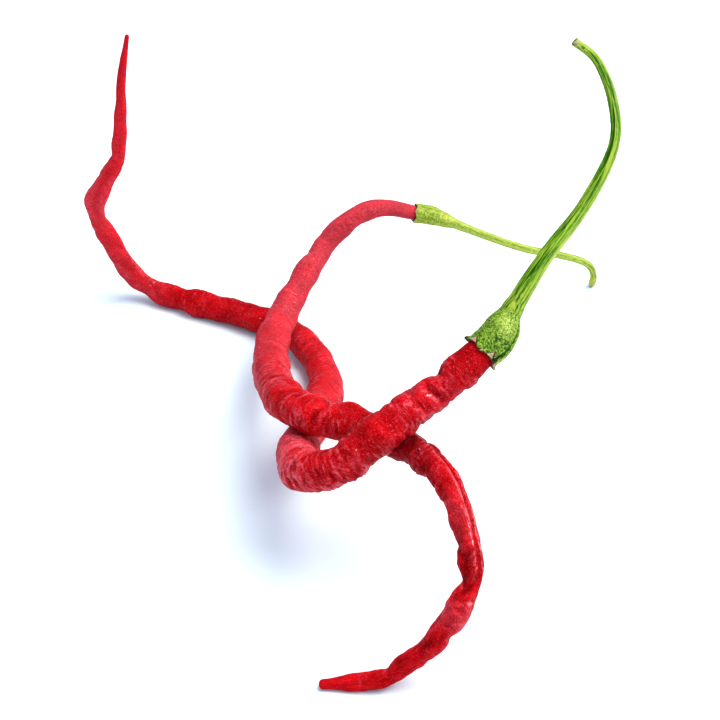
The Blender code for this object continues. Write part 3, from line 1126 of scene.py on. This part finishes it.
    def _furrows(self) -> tuple[Array, Array]:
        """The lengthwise grooves.

        Returns:
            Their depths as shares of the radius, and their lines: painted highlight on the banks, painted shade
            in the grooves.
        """
        distance = self.distance
        total = np.zeros((len(distance), self.sides))
        lines = np.zeros_like(total)
        for furrow in self.furrows:
            wander = 0.12 * np.sin(distance / 3.1 + furrow.start)
            angle = wrapped(self.turns - self.route.turn_of(furrow.side, distance) - furrow.turn - wander)
            inside = ramp(distance, furrow.start - 1.5, furrow.start + 1.5) * (
                1 - ramp(distance, furrow.end - 2.0, furrow.end + 2.0))
            groove = bell(angle, furrow.arc)
            bank = 0.5 * bell(np.abs(angle) - 2.2 * furrow.arc, furrow.arc)
            total += furrow.depth * (groove - bank) * inside
            lines += (2.0 * bank - groove) * inside * min(furrow.depth / 0.1, 1.0)
        onset = ramp(distance, self.folded_from, self.folded_from + 14.0)
        soft = bell(self._sample(SOFT_FURROWS), 0.16) * onset
        return total + SOFT_FURROW_DEPTH * (soft - 0.35), lines


class Mark(Enum):
    """The marks of a calyx and its stalk: dry skin, and dark places, which are scorch marks and also painted
    shade in the hollow and in a notch of the rim.
    """

    DRY = "dry"
    SCORCHED_AND_SHADE = "scorched_and_shade"


@dataclass(frozen=True)
class Patch:
    """A dry or dark patch that starts at a calyx's rim, at an angle in degrees round it; most dark ones are
    scorch marks, one is painted shadow in a notch.
    """

    mark: Mark
    angle: float
    half_width: float
    height: float
    taper: float = 0.8


@dataclass(frozen=True)
class Nub:
    """A small lump that stands out from a calyx's rim, at an angle in degrees round it."""

    angle: float
    half_width: float
    height: float


@dataclass(frozen=True)
class Seam:
    """A groove up a calyx with a ridge on its far side, at an angle in degrees round it; the ridge has a painted
    pale highlight and the groove painted shade.
    """

    angle: float
    start: float
    end: float
    depth: float


@dataclass
class Stem(Piece):
    """One stalk and the calyx at its foot.

    Angles round it are in degrees, from its upper left side over the side that faces the front.
    """

    rim_drop: float
    shoulder_cap: float
    shoulder_radius: float
    rim: Pairs
    patches: tuple[Patch, ...]
    nubs: tuple[Nub, ...]
    seams: tuple[Seam, ...]
    # The angle round the stem at which the painted highlight on the calyx's shoulder is strongest
    painted_highlight_angle: float
    ridges: int = 5
    calyx_end: float = 10.5
    # How much the stalk past the calyx gets its fresh green, its dark line, its painted lit side and softer
    # fibres
    sunlit: float = 0.0
    cut_cap: float = 0.3
    sides: int = 160
    calyx_step: float = 0.11
    stalk_step: float = 0.28
    turns: Array = field(init=False)
    angles: Array = field(init=False)

    def __post_init__(self) -> None:
        """Works out the turns round the stem and their angles."""
        super().__post_init__()
        self.turns = even_turns(self.sides)
        foot = np.array(0.0)
        zero = float(self.route.turn_of(Side.UP_LEFT, foot))
        way = math.copysign(1.0, float(wrapped(self.route.turn_of(Side.FRONT, foot) - zero)))
        self.angles = np.degrees(way * (self.turns - zero)) % 360.0

    def build(self) -> bpy.types.Object:
        """Makes the mesh of the calyx's hollow, its rim, its outside and the stalk.

        Returns:
            The new object.
        """
        length, flat = self.route.length, 0 * self.turns
        knots, heights = zip(*self.rim)
        rim = np.interp(self.angles, knots, heights, period=360.0)
        rim += 0.06 * self.noise.round_tube(7.0, self.turns, 7.5)
        floor = self.rim_drop - self.shoulder_cap
        depth = self.shoulder_cap + CALYX_AIR
        ceiling = floor + depth
        hollow = np.concatenate([ceiling - cap_distances(depth, HOLLOW_RINGS), [floor + HOLLOW_REACH]])[:, None]
        inner = (self.shoulder_radius + CALYX_AIR) * rounding(depth - (hollow - floor), depth) + flat
        edge = self._outside(rim * 0 + 0.01)[0]
        outer = np.concatenate([
            spaced(0.08, self.calyx_end, self.calyx_step),
            spaced(self.calyx_end, length - self.cut_cap, self.stalk_step)[1:],
            length - cap_distances(self.cut_cap, CUT_RINGS)[::-1],
        ])[:, None]
        outside, relief = self._outside(outer)
        raised = outer + rim * (1 - ramp(outer, 0.0, RIM_REACH))
        place = np.vstack([hollow + flat, rim + 0.05, rim, rim + 0.02, raised])
        radius = np.vstack([inner, inner[-1:], (inner[-1:] + edge) / 2, edge - 0.04, outside])
        shrunk = np.minimum(place, self.calyx_end) + 0.3 * np.maximum(place - self.calyx_end, 0.0)
        rest = np.stack([radius * np.cos(self.turns), radius * np.sin(self.turns), shrunk], -1)
        ahead = len(place) - len(relief)
        layers = self._layers(place, np.vstack([np.zeros((ahead, self.sides)), relief]))
        for mark, mask in self._marks(place, rim, ahead).items():
            layers[mark.value] = np.clip(mask, 0.0, 1.0)
        return self._tube(ceiling, self.route.swept(place, self.turns, radius), {"rest": rest, **layers})

    def _away(self, angle: float) -> Array:
        """Signed degrees from an angle."""
        return (self.angles - angle + 180.0) % 360.0 - 180.0

    def _outside(self, distance: Array) -> tuple[Array, Array]:
        """The outside of the calyx and the stalk.

        Args:
            distance: Distances from the rim.

        Returns:
            The radius, and the relief from -1 in a groove to 1 on a ridge.
        """
        turns = self.turns
        wander = 0.35 * self.noise.at(distance / 14.0, 0.6 * np.cos(turns), 0.6 * np.sin(turns))
        phase = self.ridges * (turns + wander * ramp(distance, 8.0, 20.0)) / 2
        crest = 2 * np.abs(np.cos(phase)) ** 0.75 - 1
        minor = np.abs(np.cos(2 * phase + 2.2 * wander)) ** 0.6 - 0.7
        share = ramp(distance, *RIDGES_FADE_IN)
        swell = np.zeros(np.broadcast_shapes(distance.shape, turns.shape))
        lines = np.zeros_like(swell)
        for seam in self.seams:
            away = self._away(seam.angle + SEAM_TWIST * distance)
            inside = ramp(distance, seam.start, seam.start + 0.8)
            inside = inside * (1 - ramp(distance, seam.end - 2.0, seam.end))
            groove, bank = bell(away, 5.0), bell(away - 9.5, 4.5)
            swell += seam.depth * inside * (0.6 * bank - groove)
            # The seam's line: a painted highlight on its bank and painted shade in its groove
            lines += inside * (bank - 1.4 * groove) * min(seam.depth / 0.2, 1.0)
        for nub in self.nubs:
            swell += nub.height * bell(self._away(nub.angle), nub.half_width) * (1 - ramp(distance, 0.35, 1.0))
        pits = self.noise.round_tube(6.4, turns, distance * 1.8)
        dots = self.noise.round_tube(11.0, turns, distance * 3.2, (5.0, 0.0))
        coarse = self.noise.round_tube(2.6, turns, distance * 0.6)
        skin = (0.06 * pits + 0.04 * dots + 0.09 * coarse) * (1 - 0.75 * share)
        radius = eased(self.girth, distance) / 2 * rounding(self.route.length - distance, self.cut_cap)
        ribbed = radius * (1 + share * RIDGE_SHARE * (crest + minor))
        # This relief also sets the painted highlight on the ribs and the painted shade in the grooves
        relief = share * (0.8 * crest + 0.7 * minor) + lines
        relief = relief + (1 - share) * (0.8 * pits + 0.7 * dots + 0.3 * coarse)
        return ribbed + swell + skin * np.minimum(1.0, radius / 1.5), relief

    def _layers(self, place: Array, relief: Array) -> dict[str, Array]:
        """The values that colour the stem.

        Args:
            place: How far along the stem each point lies.
            relief: The relief there.

        Returns:
            The relief with the stalk's dark line, the pale layer with its painted highlights, the painted lit
            side, the fresh green and the fibres.
        """
        end, length = self.calyx_end, self.route.length
        lift = self.noise.round_tube(1.6, self.turns, place / 2.2)
        shoulder = ramp(place, end * 0.42, end * 0.62) * (1 - ramp(place, end * 0.80, end * 1.02))
        # Painted highlight on the calyx's shoulder, strongest round the highlight angle
        painted_highlight_facing = 0.12 + 0.88 * bell(self._away(self.painted_highlight_angle), 38.0)
        cut = ramp(place, length - 5.0, length - 1.5)
        # Painted highlight on the calyx's raised ribs
        painted_rib_highlight = ramp(relief, 0.7, 1.1) * (1 - ramp(place, end * 0.8, end))
        stalk = ramp(place, end, end * 1.6) * self.sunlit
        turned = wrapped(self.turns - self.route.turn_of(Side.RIGHT, place))
        # Painted highlight along the stalk's lit right side
        painted_lit_side = stalk * bell(turned, 0.72)
        line = stalk * bell(np.abs(turned) - 2.05, 0.15)
        # Relief for the painted rib highlight and groove shade, with the stalk's dark line
        drawn = relief * (1 - 0.5 * stalk) * (1 - painted_lit_side) - (2.0 + 0.5 * lift) * line
        # Pale: painted highlight on the shoulder, the raised ribs and the lit side, with the real pale cut end
        pale = shoulder * painted_highlight_facing * (0.5 + 0.9 * lift) + 0.8 * cut + 0.9 * painted_rib_highlight + 0.5 * painted_lit_side
        ribs_start, ribs_full = RIDGES_FADE_IN
        return {
            "fibre": ramp(place, ribs_start + 4.0, ribs_full) * (1 - 0.15 * stalk) * (1 - 0.6 * painted_lit_side),
            "fresh": stalk * (1.0 - line),
            "painted_lit_side": np.clip(painted_lit_side * (1.0 + 0.5 * lift), 0.0, 1.0),
            "relief": np.clip(drawn, -1.0, 1.0),
            "pale": np.clip(pale, 0.0, 1.0),
        }

    def _marks(self, place: Array, rim: Array, ahead: int) -> dict[Mark, Array]:
        """The dry and dark places at the rim, in the hollow and at the cut end; the dark ones are scorch marks,
        with painted shade in the hollow and in a notch of the rim.

        Args:
            place: How far along the stem each point lies.
            rim: The place of the rim.
            ahead: The number of rings before the outside.

        Returns:
            A mask for each mark.
        """
        below, length = place - rim, self.route.length
        marks = {mark: np.zeros_like(place) for mark in Mark}
        for patch in self.patches:
            away = np.abs(self._away(patch.angle)) / patch.half_width
            edge = patch.height * np.clip(1 - away, 0.0, 1.0) ** patch.taper
            inside = (1 - ramp(below - edge, -0.06, 0.1)) * (away < 1)
            if patch.mark is Mark.DRY:
                marks[Mark.SCORCHED_AND_SHADE] *= 1 - inside
            marks[patch.mark] = np.maximum(marks[patch.mark], inside)
        # Painted shade inside the calyx's hollow
        marks[Mark.SCORCHED_AND_SHADE][:ahead] = 0.7
        torn = ramp(place + 0.5 * self.noise.round_tube(2.2, self.turns, place), length - 1.6, length - 0.9)
        lift = self.noise.round_tube(1.6, self.turns, place / 2.2)
        for mark, mask in (
            (Mark.DRY, 0.5 * (1 - ramp(below, 0.05, 0.25))),
            (Mark.DRY, 0.45 * torn),
            (Mark.SCORCHED_AND_SHADE, 0.7 * ramp(place + 0.3 * lift, length - 0.35, length - 0.15)),
        ):
            marks[mark] = np.maximum(marks[mark], mask)
        return marks


def near_pod() -> Pod:
    """The pod whose stalk stands up at the front.

    Returns:
        The pod, with its own shape.
    """
    return Pod(
        name="near_pod_skin",
        node="near_pod",
        slot="pod_skin",
        points=(
            (27.5, -18.0, 47.0), (19.0, -23.0, 41.0), (12.0, -26.0, 37.0), (6.0, -29.0, 33.5),
            (-1.0, -31.5, 29.5), (-7.0, -30.0, 25.5), (-9.5, -20.5, 20.5), (-8.0, -8.0, 14.5),
            (-6.5, 4.5, 9.5), (-4.5, 16.5, 5.5), (-5.0, 24.0, 4.0), (-8.0, 32.5, 3.3), (-14.0, 41.0, 3.1),
            (-25.0, 47.0, 3.0), (-39.0, 53.0, 2.7), (-47.3, 56.3, 3.4), (-52.5, 57.5, 8.0),
            (-55.5, 57.0, 15.0), (-59.0, 56.5, 26.5), (-56.5, 56.0, 34.0), (-52.5, 56.0, 41.0),
            (-51.0, 56.5, 49.5), (-49.5, 56.5, 61.0), (-47.0, 56.5, 72.5),
        ),
        girth=(
            (0, 5.9), (8, 6.8), (12, 6.2), (21, 7.4), (36, 8.0), (60, 7.8), (90, 7.7), (102, 6.9),
            (118, 6.4), (143, 5.9), (148, 6.2), (152, 5.4), (156, 5.6), (161, 4.3), (168, 4.6),
            (180, 4.4), (184, 3.9), (191, 4.4), (196, 3.7), (204, 3.2), (212, 2.7), (223, 2.0),
            (236, 0.9),
        ),
        seed=11,
        dents=by_side(Dent, {
            Side.UP_LEFT: ((10.8, 1.4, 0.15), (14.5, 2.2, -0.06), (35.5, 2.2, 0.22)),
            Side.DOWN_RIGHT: ((28.5, 1.6, 0.08, 0.8), (34.0, 3.0, -0.12, 0.8), (43.5, 3.0, 0.2, 0.8)),
            Side.UP: ((39.0, 4.5, 0.2, 1.0),),
            Side.RIGHT: ((68.0, 4.0, 0.25, 1.0), (177.5, 2.0, -0.12), (183.0, 1.8, 0.12),
                         (210.0, 2.0, -0.2, 1.0),
                         (218.0, 3.0, -0.14)),
            Side.DOWN_LEFT: ((151.0, 2.2, 0.14), (160.6, 1.6, 0.18), (164.2, 1.6, -0.18)),
            Side.LEFT: ((181.0, 1.8, 0.14), (189.5, 2.0, -0.24), (199.0, 1.8, -0.12), (203.2, 1.4, 0.16),
                        (206.8, 2.0, -0.18), (217.0, 2.5, 0.14)),
        }),
        creases=by_side(Crease, {
            Side.DOWN_RIGHT: (
                (5.6, 0.8, 0.42, 0.2, 0.3), (8.9, 0.9, 0.5, 0.28, -0.2), (12.4, 0.8, 0.45, 0.28, 0.4),
                (15.8, 0.9, 0.5, 0.3, 0.1), (19.3, 0.8, 0.45, 0.26, -0.3), (22.6, 0.9, 0.5, 0.28, 0.3),
                (26.2, 0.9, 0.45, 0.2, 0.2), (31.5, 0.7, 0.5, 0.2, -0.2), (36.4, 0.8, 0.5, 0.22, 0.3),
                (40.6, 1.0, 0.5, 0.28, 0.5), (45.2, 1.1, 0.5, 0.26, 0.4), (49.4, 1.2, 0.5, 0.26, 0.4),
            ),
            Side.UP_LEFT: ((10.9, 1.1, 0.6, 0.3, 0.5), (35.2, 1.0, 0.6, 0.2, 0.6), (43.4, 1.2, 0.6, 0.2, 0.3)),
            Side.FRONT: ((13.6, 1.2, 0.6, 0.28, 0.5), (17.2, 1.3, 0.65, 0.3, 0.35),
                         (52.6, 1.0, 0.5, 0.2, 0.6)),
            Side.UP: ((21.2, 1.0, 0.5, 0.22, 0.5),),
            Side.LEFT: ((181.4, 1.2, 0.6, 0.24, 0.2), (196.2, 1.0, 0.6, 0.24, -0.3),
                        (203.2, 1.0, 0.5, 0.26, 0.4)),
        }),
        crumples=(
            Crumple(5.0, 34.0, 1.1, 0.12, 0.8, slant=0.9),
            Crumple(34.0, 58.0, 0.42, 0.2, 1.6, arc=1.3, slant=0.25),
            Crumple(58.0, 150.0, 1.1, 0.16, 0.7),
            Crumple(150.0, 222.0, 1.2, 0.16, 0.6),
            Crumple(7.0, 23.0, 0.9, 0.12, 0.3, arc=1.1, slant=0.5, lumps=0.0),
        ),
        furrows=(
            Furrow(158.0, 172.0, Side.FRONT, 0.3, 0.4, 0.05),
            Furrow(186.0, 200.0, Side.FRONT, 0.2, 0.4, 0.05),
        ),
        # Painted shade and painted sheen along the pod, by distance
        painted_shade_sheen_steps=(
            (0, -0.1), (4, -0.25), (9, -0.15), (15, 0.05), (22, 0.0), (30, -0.25), (40, -0.1), (46, 0.15),
            (50, 0.5), (62, 0.5), (74, 0.2), (100, 0.1), (125, 0.15), (134, -0.3), (150, -0.05),
            (160, 0.2), (180, 0.2), (188, 0.45), (200, 0.2), (236, 0.1),
        ),
        shoulder_cap=2.2,
        tip_cap=0.6,
        folded_from=140.0,
        thin_from=160.0,
    )


def far_pod() -> Pod:
    """The pod that comes down on its thin end at the front.

    Returns:
        The pod, with its own shape.
    """
    return Pod(
        name="far_pod_skin",
        node="far_pod",
        slot="pod_skin",
        points=(
            (17.5, 55.5, 26.5), (8.0, 55.0, 28.5), (1.0, 53.0, 26.5), (-4.5, 51.0, 21.5),
            (-9.0, 44.5, 18.0), (-14.0, 35.5, 13.5), (-16.5, 26.0, 12.5), (-16.5, 16.0, 14.0),
            (-15.0, 4.0, 18.0), (-11.0, -9.0, 24.0), (-5.5, -15.5, 26.5), (3.0, -19.0, 27.0),
            (11.0, -25.0, 28.0), (16.0, -31.5, 30.0), (20.0, -39.5, 30.5), (22.5, -46.5, 27.0),
            (23.5, -52.5, 21.5), (20.5, -57.5, 16.5), (15.5, -60.0, 9.5), (10.0, -60.5, 4.0),
            (6.0, -61.0, 1.8), (-4.5, -61.5, 1.0),
        ),
        girth=(
            (0, 3.2), (5, 3.5), (13, 4.3), (24, 4.8), (36, 5.6), (48, 7.0), (60, 7.8), (80, 7.4),
            (95, 7.8), (108, 7.4), (118, 6.8), (128, 6.0), (133, 5.2), (137, 5.3), (143, 4.4), (149, 4.6),
            (156, 3.9), (163, 4.5), (174, 3.7), (182, 3.8), (189, 3.0), (194, 1.9),
        ),
        seed=23,
        dents=by_side(Dent, {
            Side.UP_LEFT: ((30.0, 2.0, 0.1), (177.0, 1.8, -0.16), (181.0, 1.5, 0.3)),
            Side.UP: ((104.0, 1.3, 0.12), (108.5, 2.6, -0.14, 1.0)),
            Side.DOWN_LEFT: ((122.0, 3.0, 0.12), (130.0, 1.6, -0.08, 0.8), (132.7, 1.4, 0.12, 0.8)),
            Side.FRONT_RIGHT: ((142.0, 10.0, 0.2, 0.3), (154.4, 1.5, -0.14, 0.7)),
            Side.LEFT: ((144.6, 2.0, -0.18), (149.4, 1.2, 0.08), (153.4, 2.2, -0.2), (156.8, 1.6, 0.3),
                        (161.2, 2.2, -0.12)),
            Side.FRONT: ((147.5, 1.6, 0.12, 0.8), (158.4, 1.4, 0.16), (161.6, 1.8, -0.16), (166.4, 1.6, 0.16),
                         (171.6, 1.8, -0.14), (176.4, 1.6, 0.14), (185.0, 2.0, -0.12)),
            Side.RIGHT: ((156.0, 5.0, -0.12),),
            Side.DOWN_RIGHT: ((163.4, 1.8, -0.12, 0.8), (167.0, 1.3, 0.16, 0.8), (169.8, 1.4, -0.1, 0.8),
                              (173.0, 1.3, 0.14, 0.8)),
        }),
        creases=by_side(Crease, {
            Side.UP_LEFT: ((30.0, 1.0, 0.6, 0.24, 0.2), (181.0, 1.3, 0.6, 0.34, 0.5)),
            Side.FRONT: (
                (84.0, 1.2, 0.7, 0.26, 0.3), (129.4, 0.8, 0.36, 0.24, -0.7), (135.0, 0.7, 0.36, 0.22, 0.9),
                (160.2, 0.8, 0.4, 0.24, 0.9), (161.9, 0.7, 0.34, 0.22, -0.7), (165.0, 0.6, 0.34, 0.2, 0.3),
            ),
            Side.DOWN_LEFT: ((91.0, 1.0, 0.7, 0.24, -0.3), (132.4, 1.0, 0.6, 0.3, 0.5)),
            Side.UP: ((97.5, 0.8, 0.6, 0.2, 0.3), (104.0, 1.5, 0.7, 0.45, -0.2), (119.5, 0.8, 0.5, 0.2, 0.2)),
            Side.ABOVE: ((124.0, 0.7, 0.5, 0.24, 0.3),),
            Side.FRONT_RIGHT: ((127.2, 0.8, 0.36, 0.26, 0.9), (131.2, 0.6, 0.34, 0.22, 0.5),
                               (163.3, 0.7, 0.36, 0.24, 0.8)),
            Side.LEFT: ((136.8, 0.8, 0.5, 0.18, 0.3), (140.6, 0.9, 0.5, 0.2, -0.2),
                        (149.4, 0.9, 0.6, 0.2, 0.4),
                        (156.8, 1.2, 0.8, 0.34, 0.1)),
            Side.DOWN_RIGHT: ((167.0, 0.9, 0.6, 0.24, -0.2), (173.0, 0.8, 0.6, 0.22, 0.3)),
        }),
        crumples=(
            Crumple(8.0, 60.0, 1.2, 0.14, 0.6),
            Crumple(60.0, 118.0, 1.0, 0.16, 0.75),
            Crumple(118.0, 150.0, 0.9, 0.18, 0.8, slant=1.2, lumps=2.6),
            Crumple(150.0, 190.0, 1.4, 0.18, 0.45, arc=1.0, lumps=3.4),
        ),
        furrows=(
            Furrow(128.0, 156.0, Side.FRONT_RIGHT, 0.0, 0.17, 0.11),
            Furrow(134.0, 148.0, Side.FRONT_RIGHT, -0.75, 0.2, 0.05),
            Furrow(158.0, 170.0, Side.FRONT, 0.2, 0.5, 0.05),
        ),
        # Painted shade and painted sheen along the pod, by distance
        painted_shade_sheen_steps=(
            (0, 0.6), (24, 0.6), (40, 0.5), (60, 0.35), (80, 0.15), (96, 0.0), (106, -0.12), (114, -0.35),
            (122, -0.6), (130, -0.55), (138, 0.0), (143, 0.2), (148, 0.15), (152, -0.3), (155, -0.3),
            (158, -0.1), (163, 0.3), (168, 0.0), (194, 0.0),
        ),
        shoulder_cap=1.4,
        tip_cap=0.9,
        folded_from=112.0,
        thin_from=176.0,
    )


def near_stem() -> Stem:
    """The stalk that stands up at the front, with its green calyx.

    Returns:
        The stalk and calyx, with its own shape.
    """
    return Stem(
        name="near_stalk_green",
        node="near_stalk",
        slot="near_stalk_green",
        points=(
            (25.7, -19.1, 45.7), (29.0, -17.1, 48.0), (32.0, -14.0, 52.5), (38.0, -8.0, 60.0),
            (45.5, -1.0, 67.0), (51.0, 6.0, 75.5), (51.0, 11.5, 82.0), (48.0, 16.5, 88.0),
            (43.5, 19.0, 91.0),
        ),
        girth=(
            (0, 7.4), (4, 7.5), (6.5, 6.9), (10.5, 4.1), (13, 3.4), (24, 2.9), (36, 2.5), (50, 2.0),
            (70, 1.6),
        ),
        seed=37,
        rim_drop=2.5,
        shoulder_cap=2.2,
        shoulder_radius=3.07,
        rim=(
            (0, -0.1), (10, 0.1), (25, 0.4), (45, 0.55), (58, 0.45), (64, 0.3), (70, 0.12), (80, 0.22),
            (93, 0.65), (110, 0.82), (123, 0.9), (130, 1.1), (136, 1.3), (141, 0.8), (147, 0.4),
            (165, 0.1), (180, -0.1), (200, 0.3), (225, -0.3), (250, 0.4), (290, -0.2), (320, 0.5),
            (345, 0.3),
        ),
        patches=(
            Patch(Mark.SCORCHED_AND_SHADE, 38.0, 22.0, 1.05, 0.7),
            Patch(Mark.DRY, 36.0, 16.0, 0.95),
            Patch(Mark.SCORCHED_AND_SHADE, 113.0, 17.0, 1.5, 1.0),
            Patch(Mark.DRY, 111.0, 13.0, 1.3, 1.1),
            Patch(Mark.DRY, 160.0, 22.0, 1.5, 0.9),
            Patch(Mark.DRY, 226.0, 16.0, 1.0),
            Patch(Mark.DRY, 298.0, 20.0, 0.8),
            Patch(Mark.SCORCHED_AND_SHADE, 1.0, 9.0, 0.75, 0.5),
            Patch(Mark.SCORCHED_AND_SHADE, 76.0, 17.0, 0.2, 0.3),
            Patch(Mark.SCORCHED_AND_SHADE, 76.0, 8.0, 0.5, 0.6),
            Patch(Mark.DRY, 81.0, 4.0, 0.45, 0.6),
            # Painted shadow in the notch between two sepals
            Patch(Mark.SCORCHED_AND_SHADE, 136.0, 12.0, 2.0, 0.9),
            Patch(Mark.SCORCHED_AND_SHADE, 175.0, 7.0, 0.5, 0.5),
            Patch(Mark.SCORCHED_AND_SHADE, 226.0, 6.0, 0.5),
        ),
        nubs=(Nub(1.0, 8.0, 0.6), Nub(173.0, 7.0, 0.35), Nub(226.0, 9.0, 0.3)),
        seams=(Seam(138.0, 0.2, 10.5, 0.30), Seam(205.0, 0.5, 9.0, 0.14), Seam(275.0, 0.5, 9.0, 0.14),
               Seam(340.0, 0.5, 8.0, 0.08)),
        # Where the painted highlight on the calyx's shoulder is strongest
        painted_highlight_angle=84.0,
        # The stalk gets its fresh green, dark line and painted lit side
        sunlit=1.0,
    )


def far_stem() -> Stem:
    """The thin stalk at the back right, with its pale calyx.

    Returns:
        The stalk and calyx, with its own shape.
    """
    return Stem(
        name="far_stalk_green",
        node="far_stalk",
        slot="far_stalk_green",
        points=(
            (16.0, 55.4, 26.8), (19.5, 55.6, 26.1), (23.5, 55.7, 24.5), (32.5, 57.0, 19.5),
            (43.0, 57.5, 15.0), (53.5, 59.0, 11.5), (59.0, 60.0, 8.5), (61.0, 61.5, 4.0),
            (61.0, 62.5, 0.3),
        ),
        girth=((0, 4.6), (4, 4.5), (7, 3.6), (11, 2.2), (16, 1.9), (40, 1.7), (55, 1.6)),
        seed=41,
        rim_drop=1.6,
        shoulder_cap=1.4,
        shoulder_radius=1.63,
        rim=(
            (0, 0.0), (20, -0.3), (60, 0.2), (95, -0.35), (130, 0.2), (165, -0.3), (200, 0.2),
            (238, -0.35), (270, 0.2), (305, -0.3), (340, 0.2),
        ),
        patches=tuple(
            Patch(Mark.DRY, angle, 10.0, height)
            for angle, height in ((20.0, 0.4), (95.0, 0.4), (165.0, 0.5), (238.0, 0.4), (305.0, 0.4))
        ),
        nubs=(),
        seams=tuple(Seam(angle, 0.4, 8.0, 0.08) for angle in (60.0, 130.0, 270.0)),
        # Where the painted highlight on the calyx's shoulder is strongest
        painted_highlight_angle=60.0,
        calyx_end=11.0,
    )


@dataclass(frozen=True)
class Studio:
    """A white table, a soft light from the upper right and the pale room round it, all in metres."""

    table_size: float = 6.0
    table_colours: tuple[Colour, Colour] = ((0.83, 0.93, 0.955, 1.0), (0.85, 0.94, 0.96, 1.0))
    table_roughness: float = 0.75
    mirrored_table: Colour = (0.50, 0.46, 0.50, 1.0)
    room_colour: Colour = (0.68, 0.81, 1.0, 1.0)
    room_strength: float = 0.77
    mirrored_strength: float = 0.10
    backdrop: Colour = (0.97, 0.985, 1.0, 1.0)
    lamp_colour: Vec = (1.0, 0.985, 0.96)
    key_place: Vec = (0.42, 0.06, 0.92)
    key_size: float = 0.90
    key_power: float = 12.0
    glint_size: float = 0.24
    glint_power: float = 9.0
    sheen_place: Vec = (0.78, -0.02, 0.42)
    sheen_size: float = 0.55
    sheen_power: float = 15.0
    camera_place: Vec = (3.2 * MM, -236.5 * MM, 226.7 * MM)
    camera_pitch: float = 40.0
    camera_lens: float = 75.0
    sensor: float = 36.0

    def build(self) -> None:
        """Makes the table, the light, the room and the camera."""
        self._table()
        self._lamp("key", self.key_place, self.key_size, self.key_power, glossy=False)
        self._lamp("glint", self.key_place, self.glint_size, self.glint_power, glossy=True)
        self._lamp("sheen", self.sheen_place, self.sheen_size, self.sheen_power, glossy=True)
        self._room()
        self._camera()

    def _table(self) -> None:
        """The table top that the chillies lie on."""
        bpy.ops.mesh.primitive_plane_add(size=self.table_size)
        table = bpy.context.object
        table.name = "table_top"
        material, graph, shader = new_material("white_table")
        place = graph.add("ShaderNodeTexCoord").outputs["Object"]
        even = graph.blend(graph.noise(place, 3.0), *self.table_colours)
        mirrored = graph.add("ShaderNodeLightPath").outputs["Is Glossy Ray"]
        shade = graph.blend(mirrored, even, self.mirrored_table)
        graph.fill(shader, {"Base Color": shade, "Roughness": self.table_roughness})
        table.data.materials.append(material)

    def _lamp(self, name: str, place: Vec, size: float, power: float, glossy: bool) -> None:
        """A round light that faces the chillies.

        Args:
            name: Its name.
            place: Where it stands.
            size: Its width.
            power: Its power in watts.
            glossy: Whether it gives the highlights alone, or else all the light but them.
        """
        light = bpy.data.lights.new(name, "AREA")
        light.shape = "DISK"
        light.size = size
        light.energy = power
        light.color = self.lamp_colour
        lamp = bpy.data.objects.new(name, light)
        lamp.location = place
        lamp.rotation_euler = Vector(place).to_track_quat("Z", "Y").to_euler()
        lamp.visible_glossy = glossy
        lamp.visible_diffuse = not glossy
        bpy.context.collection.objects.link(lamp)

    def _room(self) -> None:
        """The pale light from all round, which the camera sees as white."""
        world = bpy.data.worlds.new("room")
        world.use_nodes = True
        graph = Graph(world.node_tree)
        ray = graph.add("ShaderNodeLightPath")
        seen = world.node_tree.nodes["Background"]
        graph.fill(seen, {"Color": self.room_colour, "Strength": self.room_strength})
        for ray_kind, colour, strength in (
            ("Is Glossy Ray", self.room_colour, self.mirrored_strength),
            ("Is Camera Ray", self.backdrop, 1.0),
        ):
            other = graph.add("ShaderNodeBackground", {"Color": colour, "Strength": strength})
            inputs = {0: ray.outputs[ray_kind], 1: seen.outputs[0], 2: other.outputs[0]}
            seen = graph.add("ShaderNodeMixShader", inputs)
        graph.fill(world.node_tree.nodes["World Output"], {"Surface": seen.outputs[0]})
        bpy.context.scene.world = world

    def _camera(self) -> None:
        """The camera, looking down at the chillies from the front."""
        data = bpy.data.cameras.new("camera")
        data.lens = self.camera_lens
        data.sensor_width = self.sensor
        data.clip_start = 0.01
        camera = bpy.data.objects.new("camera", data)
        camera.location = self.camera_place
        camera.rotation_euler = (math.radians(90.0 - self.camera_pitch), 0.0, 0.0)
        bpy.context.collection.objects.link(camera)
        bpy.context.scene.camera = camera
        bpy.context.scene.view_settings.view_transform = "Standard"
        bpy.context.scene.view_settings.look = "Medium High Contrast"


def main() -> None:
    """Builds the chillies and the studio."""
    logging.basicConfig(level=logging.INFO, format="%(name)s: %(message)s")
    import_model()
    effects = Effects(grain_group(), mottle_group())
    skin = PodFinish("chilli_skin").make(effects)
    green = StalkFinish("stalk_green").make(effects)
    pale = StalkFinish(
        "pale_stalk_green", ridge=(0.44, 0.50, 0.10, 1.0), flank=(0.27, 0.37, 0.040, 1.0),
        groove=(0.14, 0.24, 0.012, 1.0), pale=(0.64, 0.60, 0.11, 1.0), grain_depth=0.5, fibres=0.12,
    ).make(effects)
    for piece, material in ((near_pod(), skin), (far_pod(), skin), (near_stem(), green), (far_stem(), pale)):
        piece.dress(piece.build(), material)
    Studio().build()


if __name__ == "__main__":
    main()
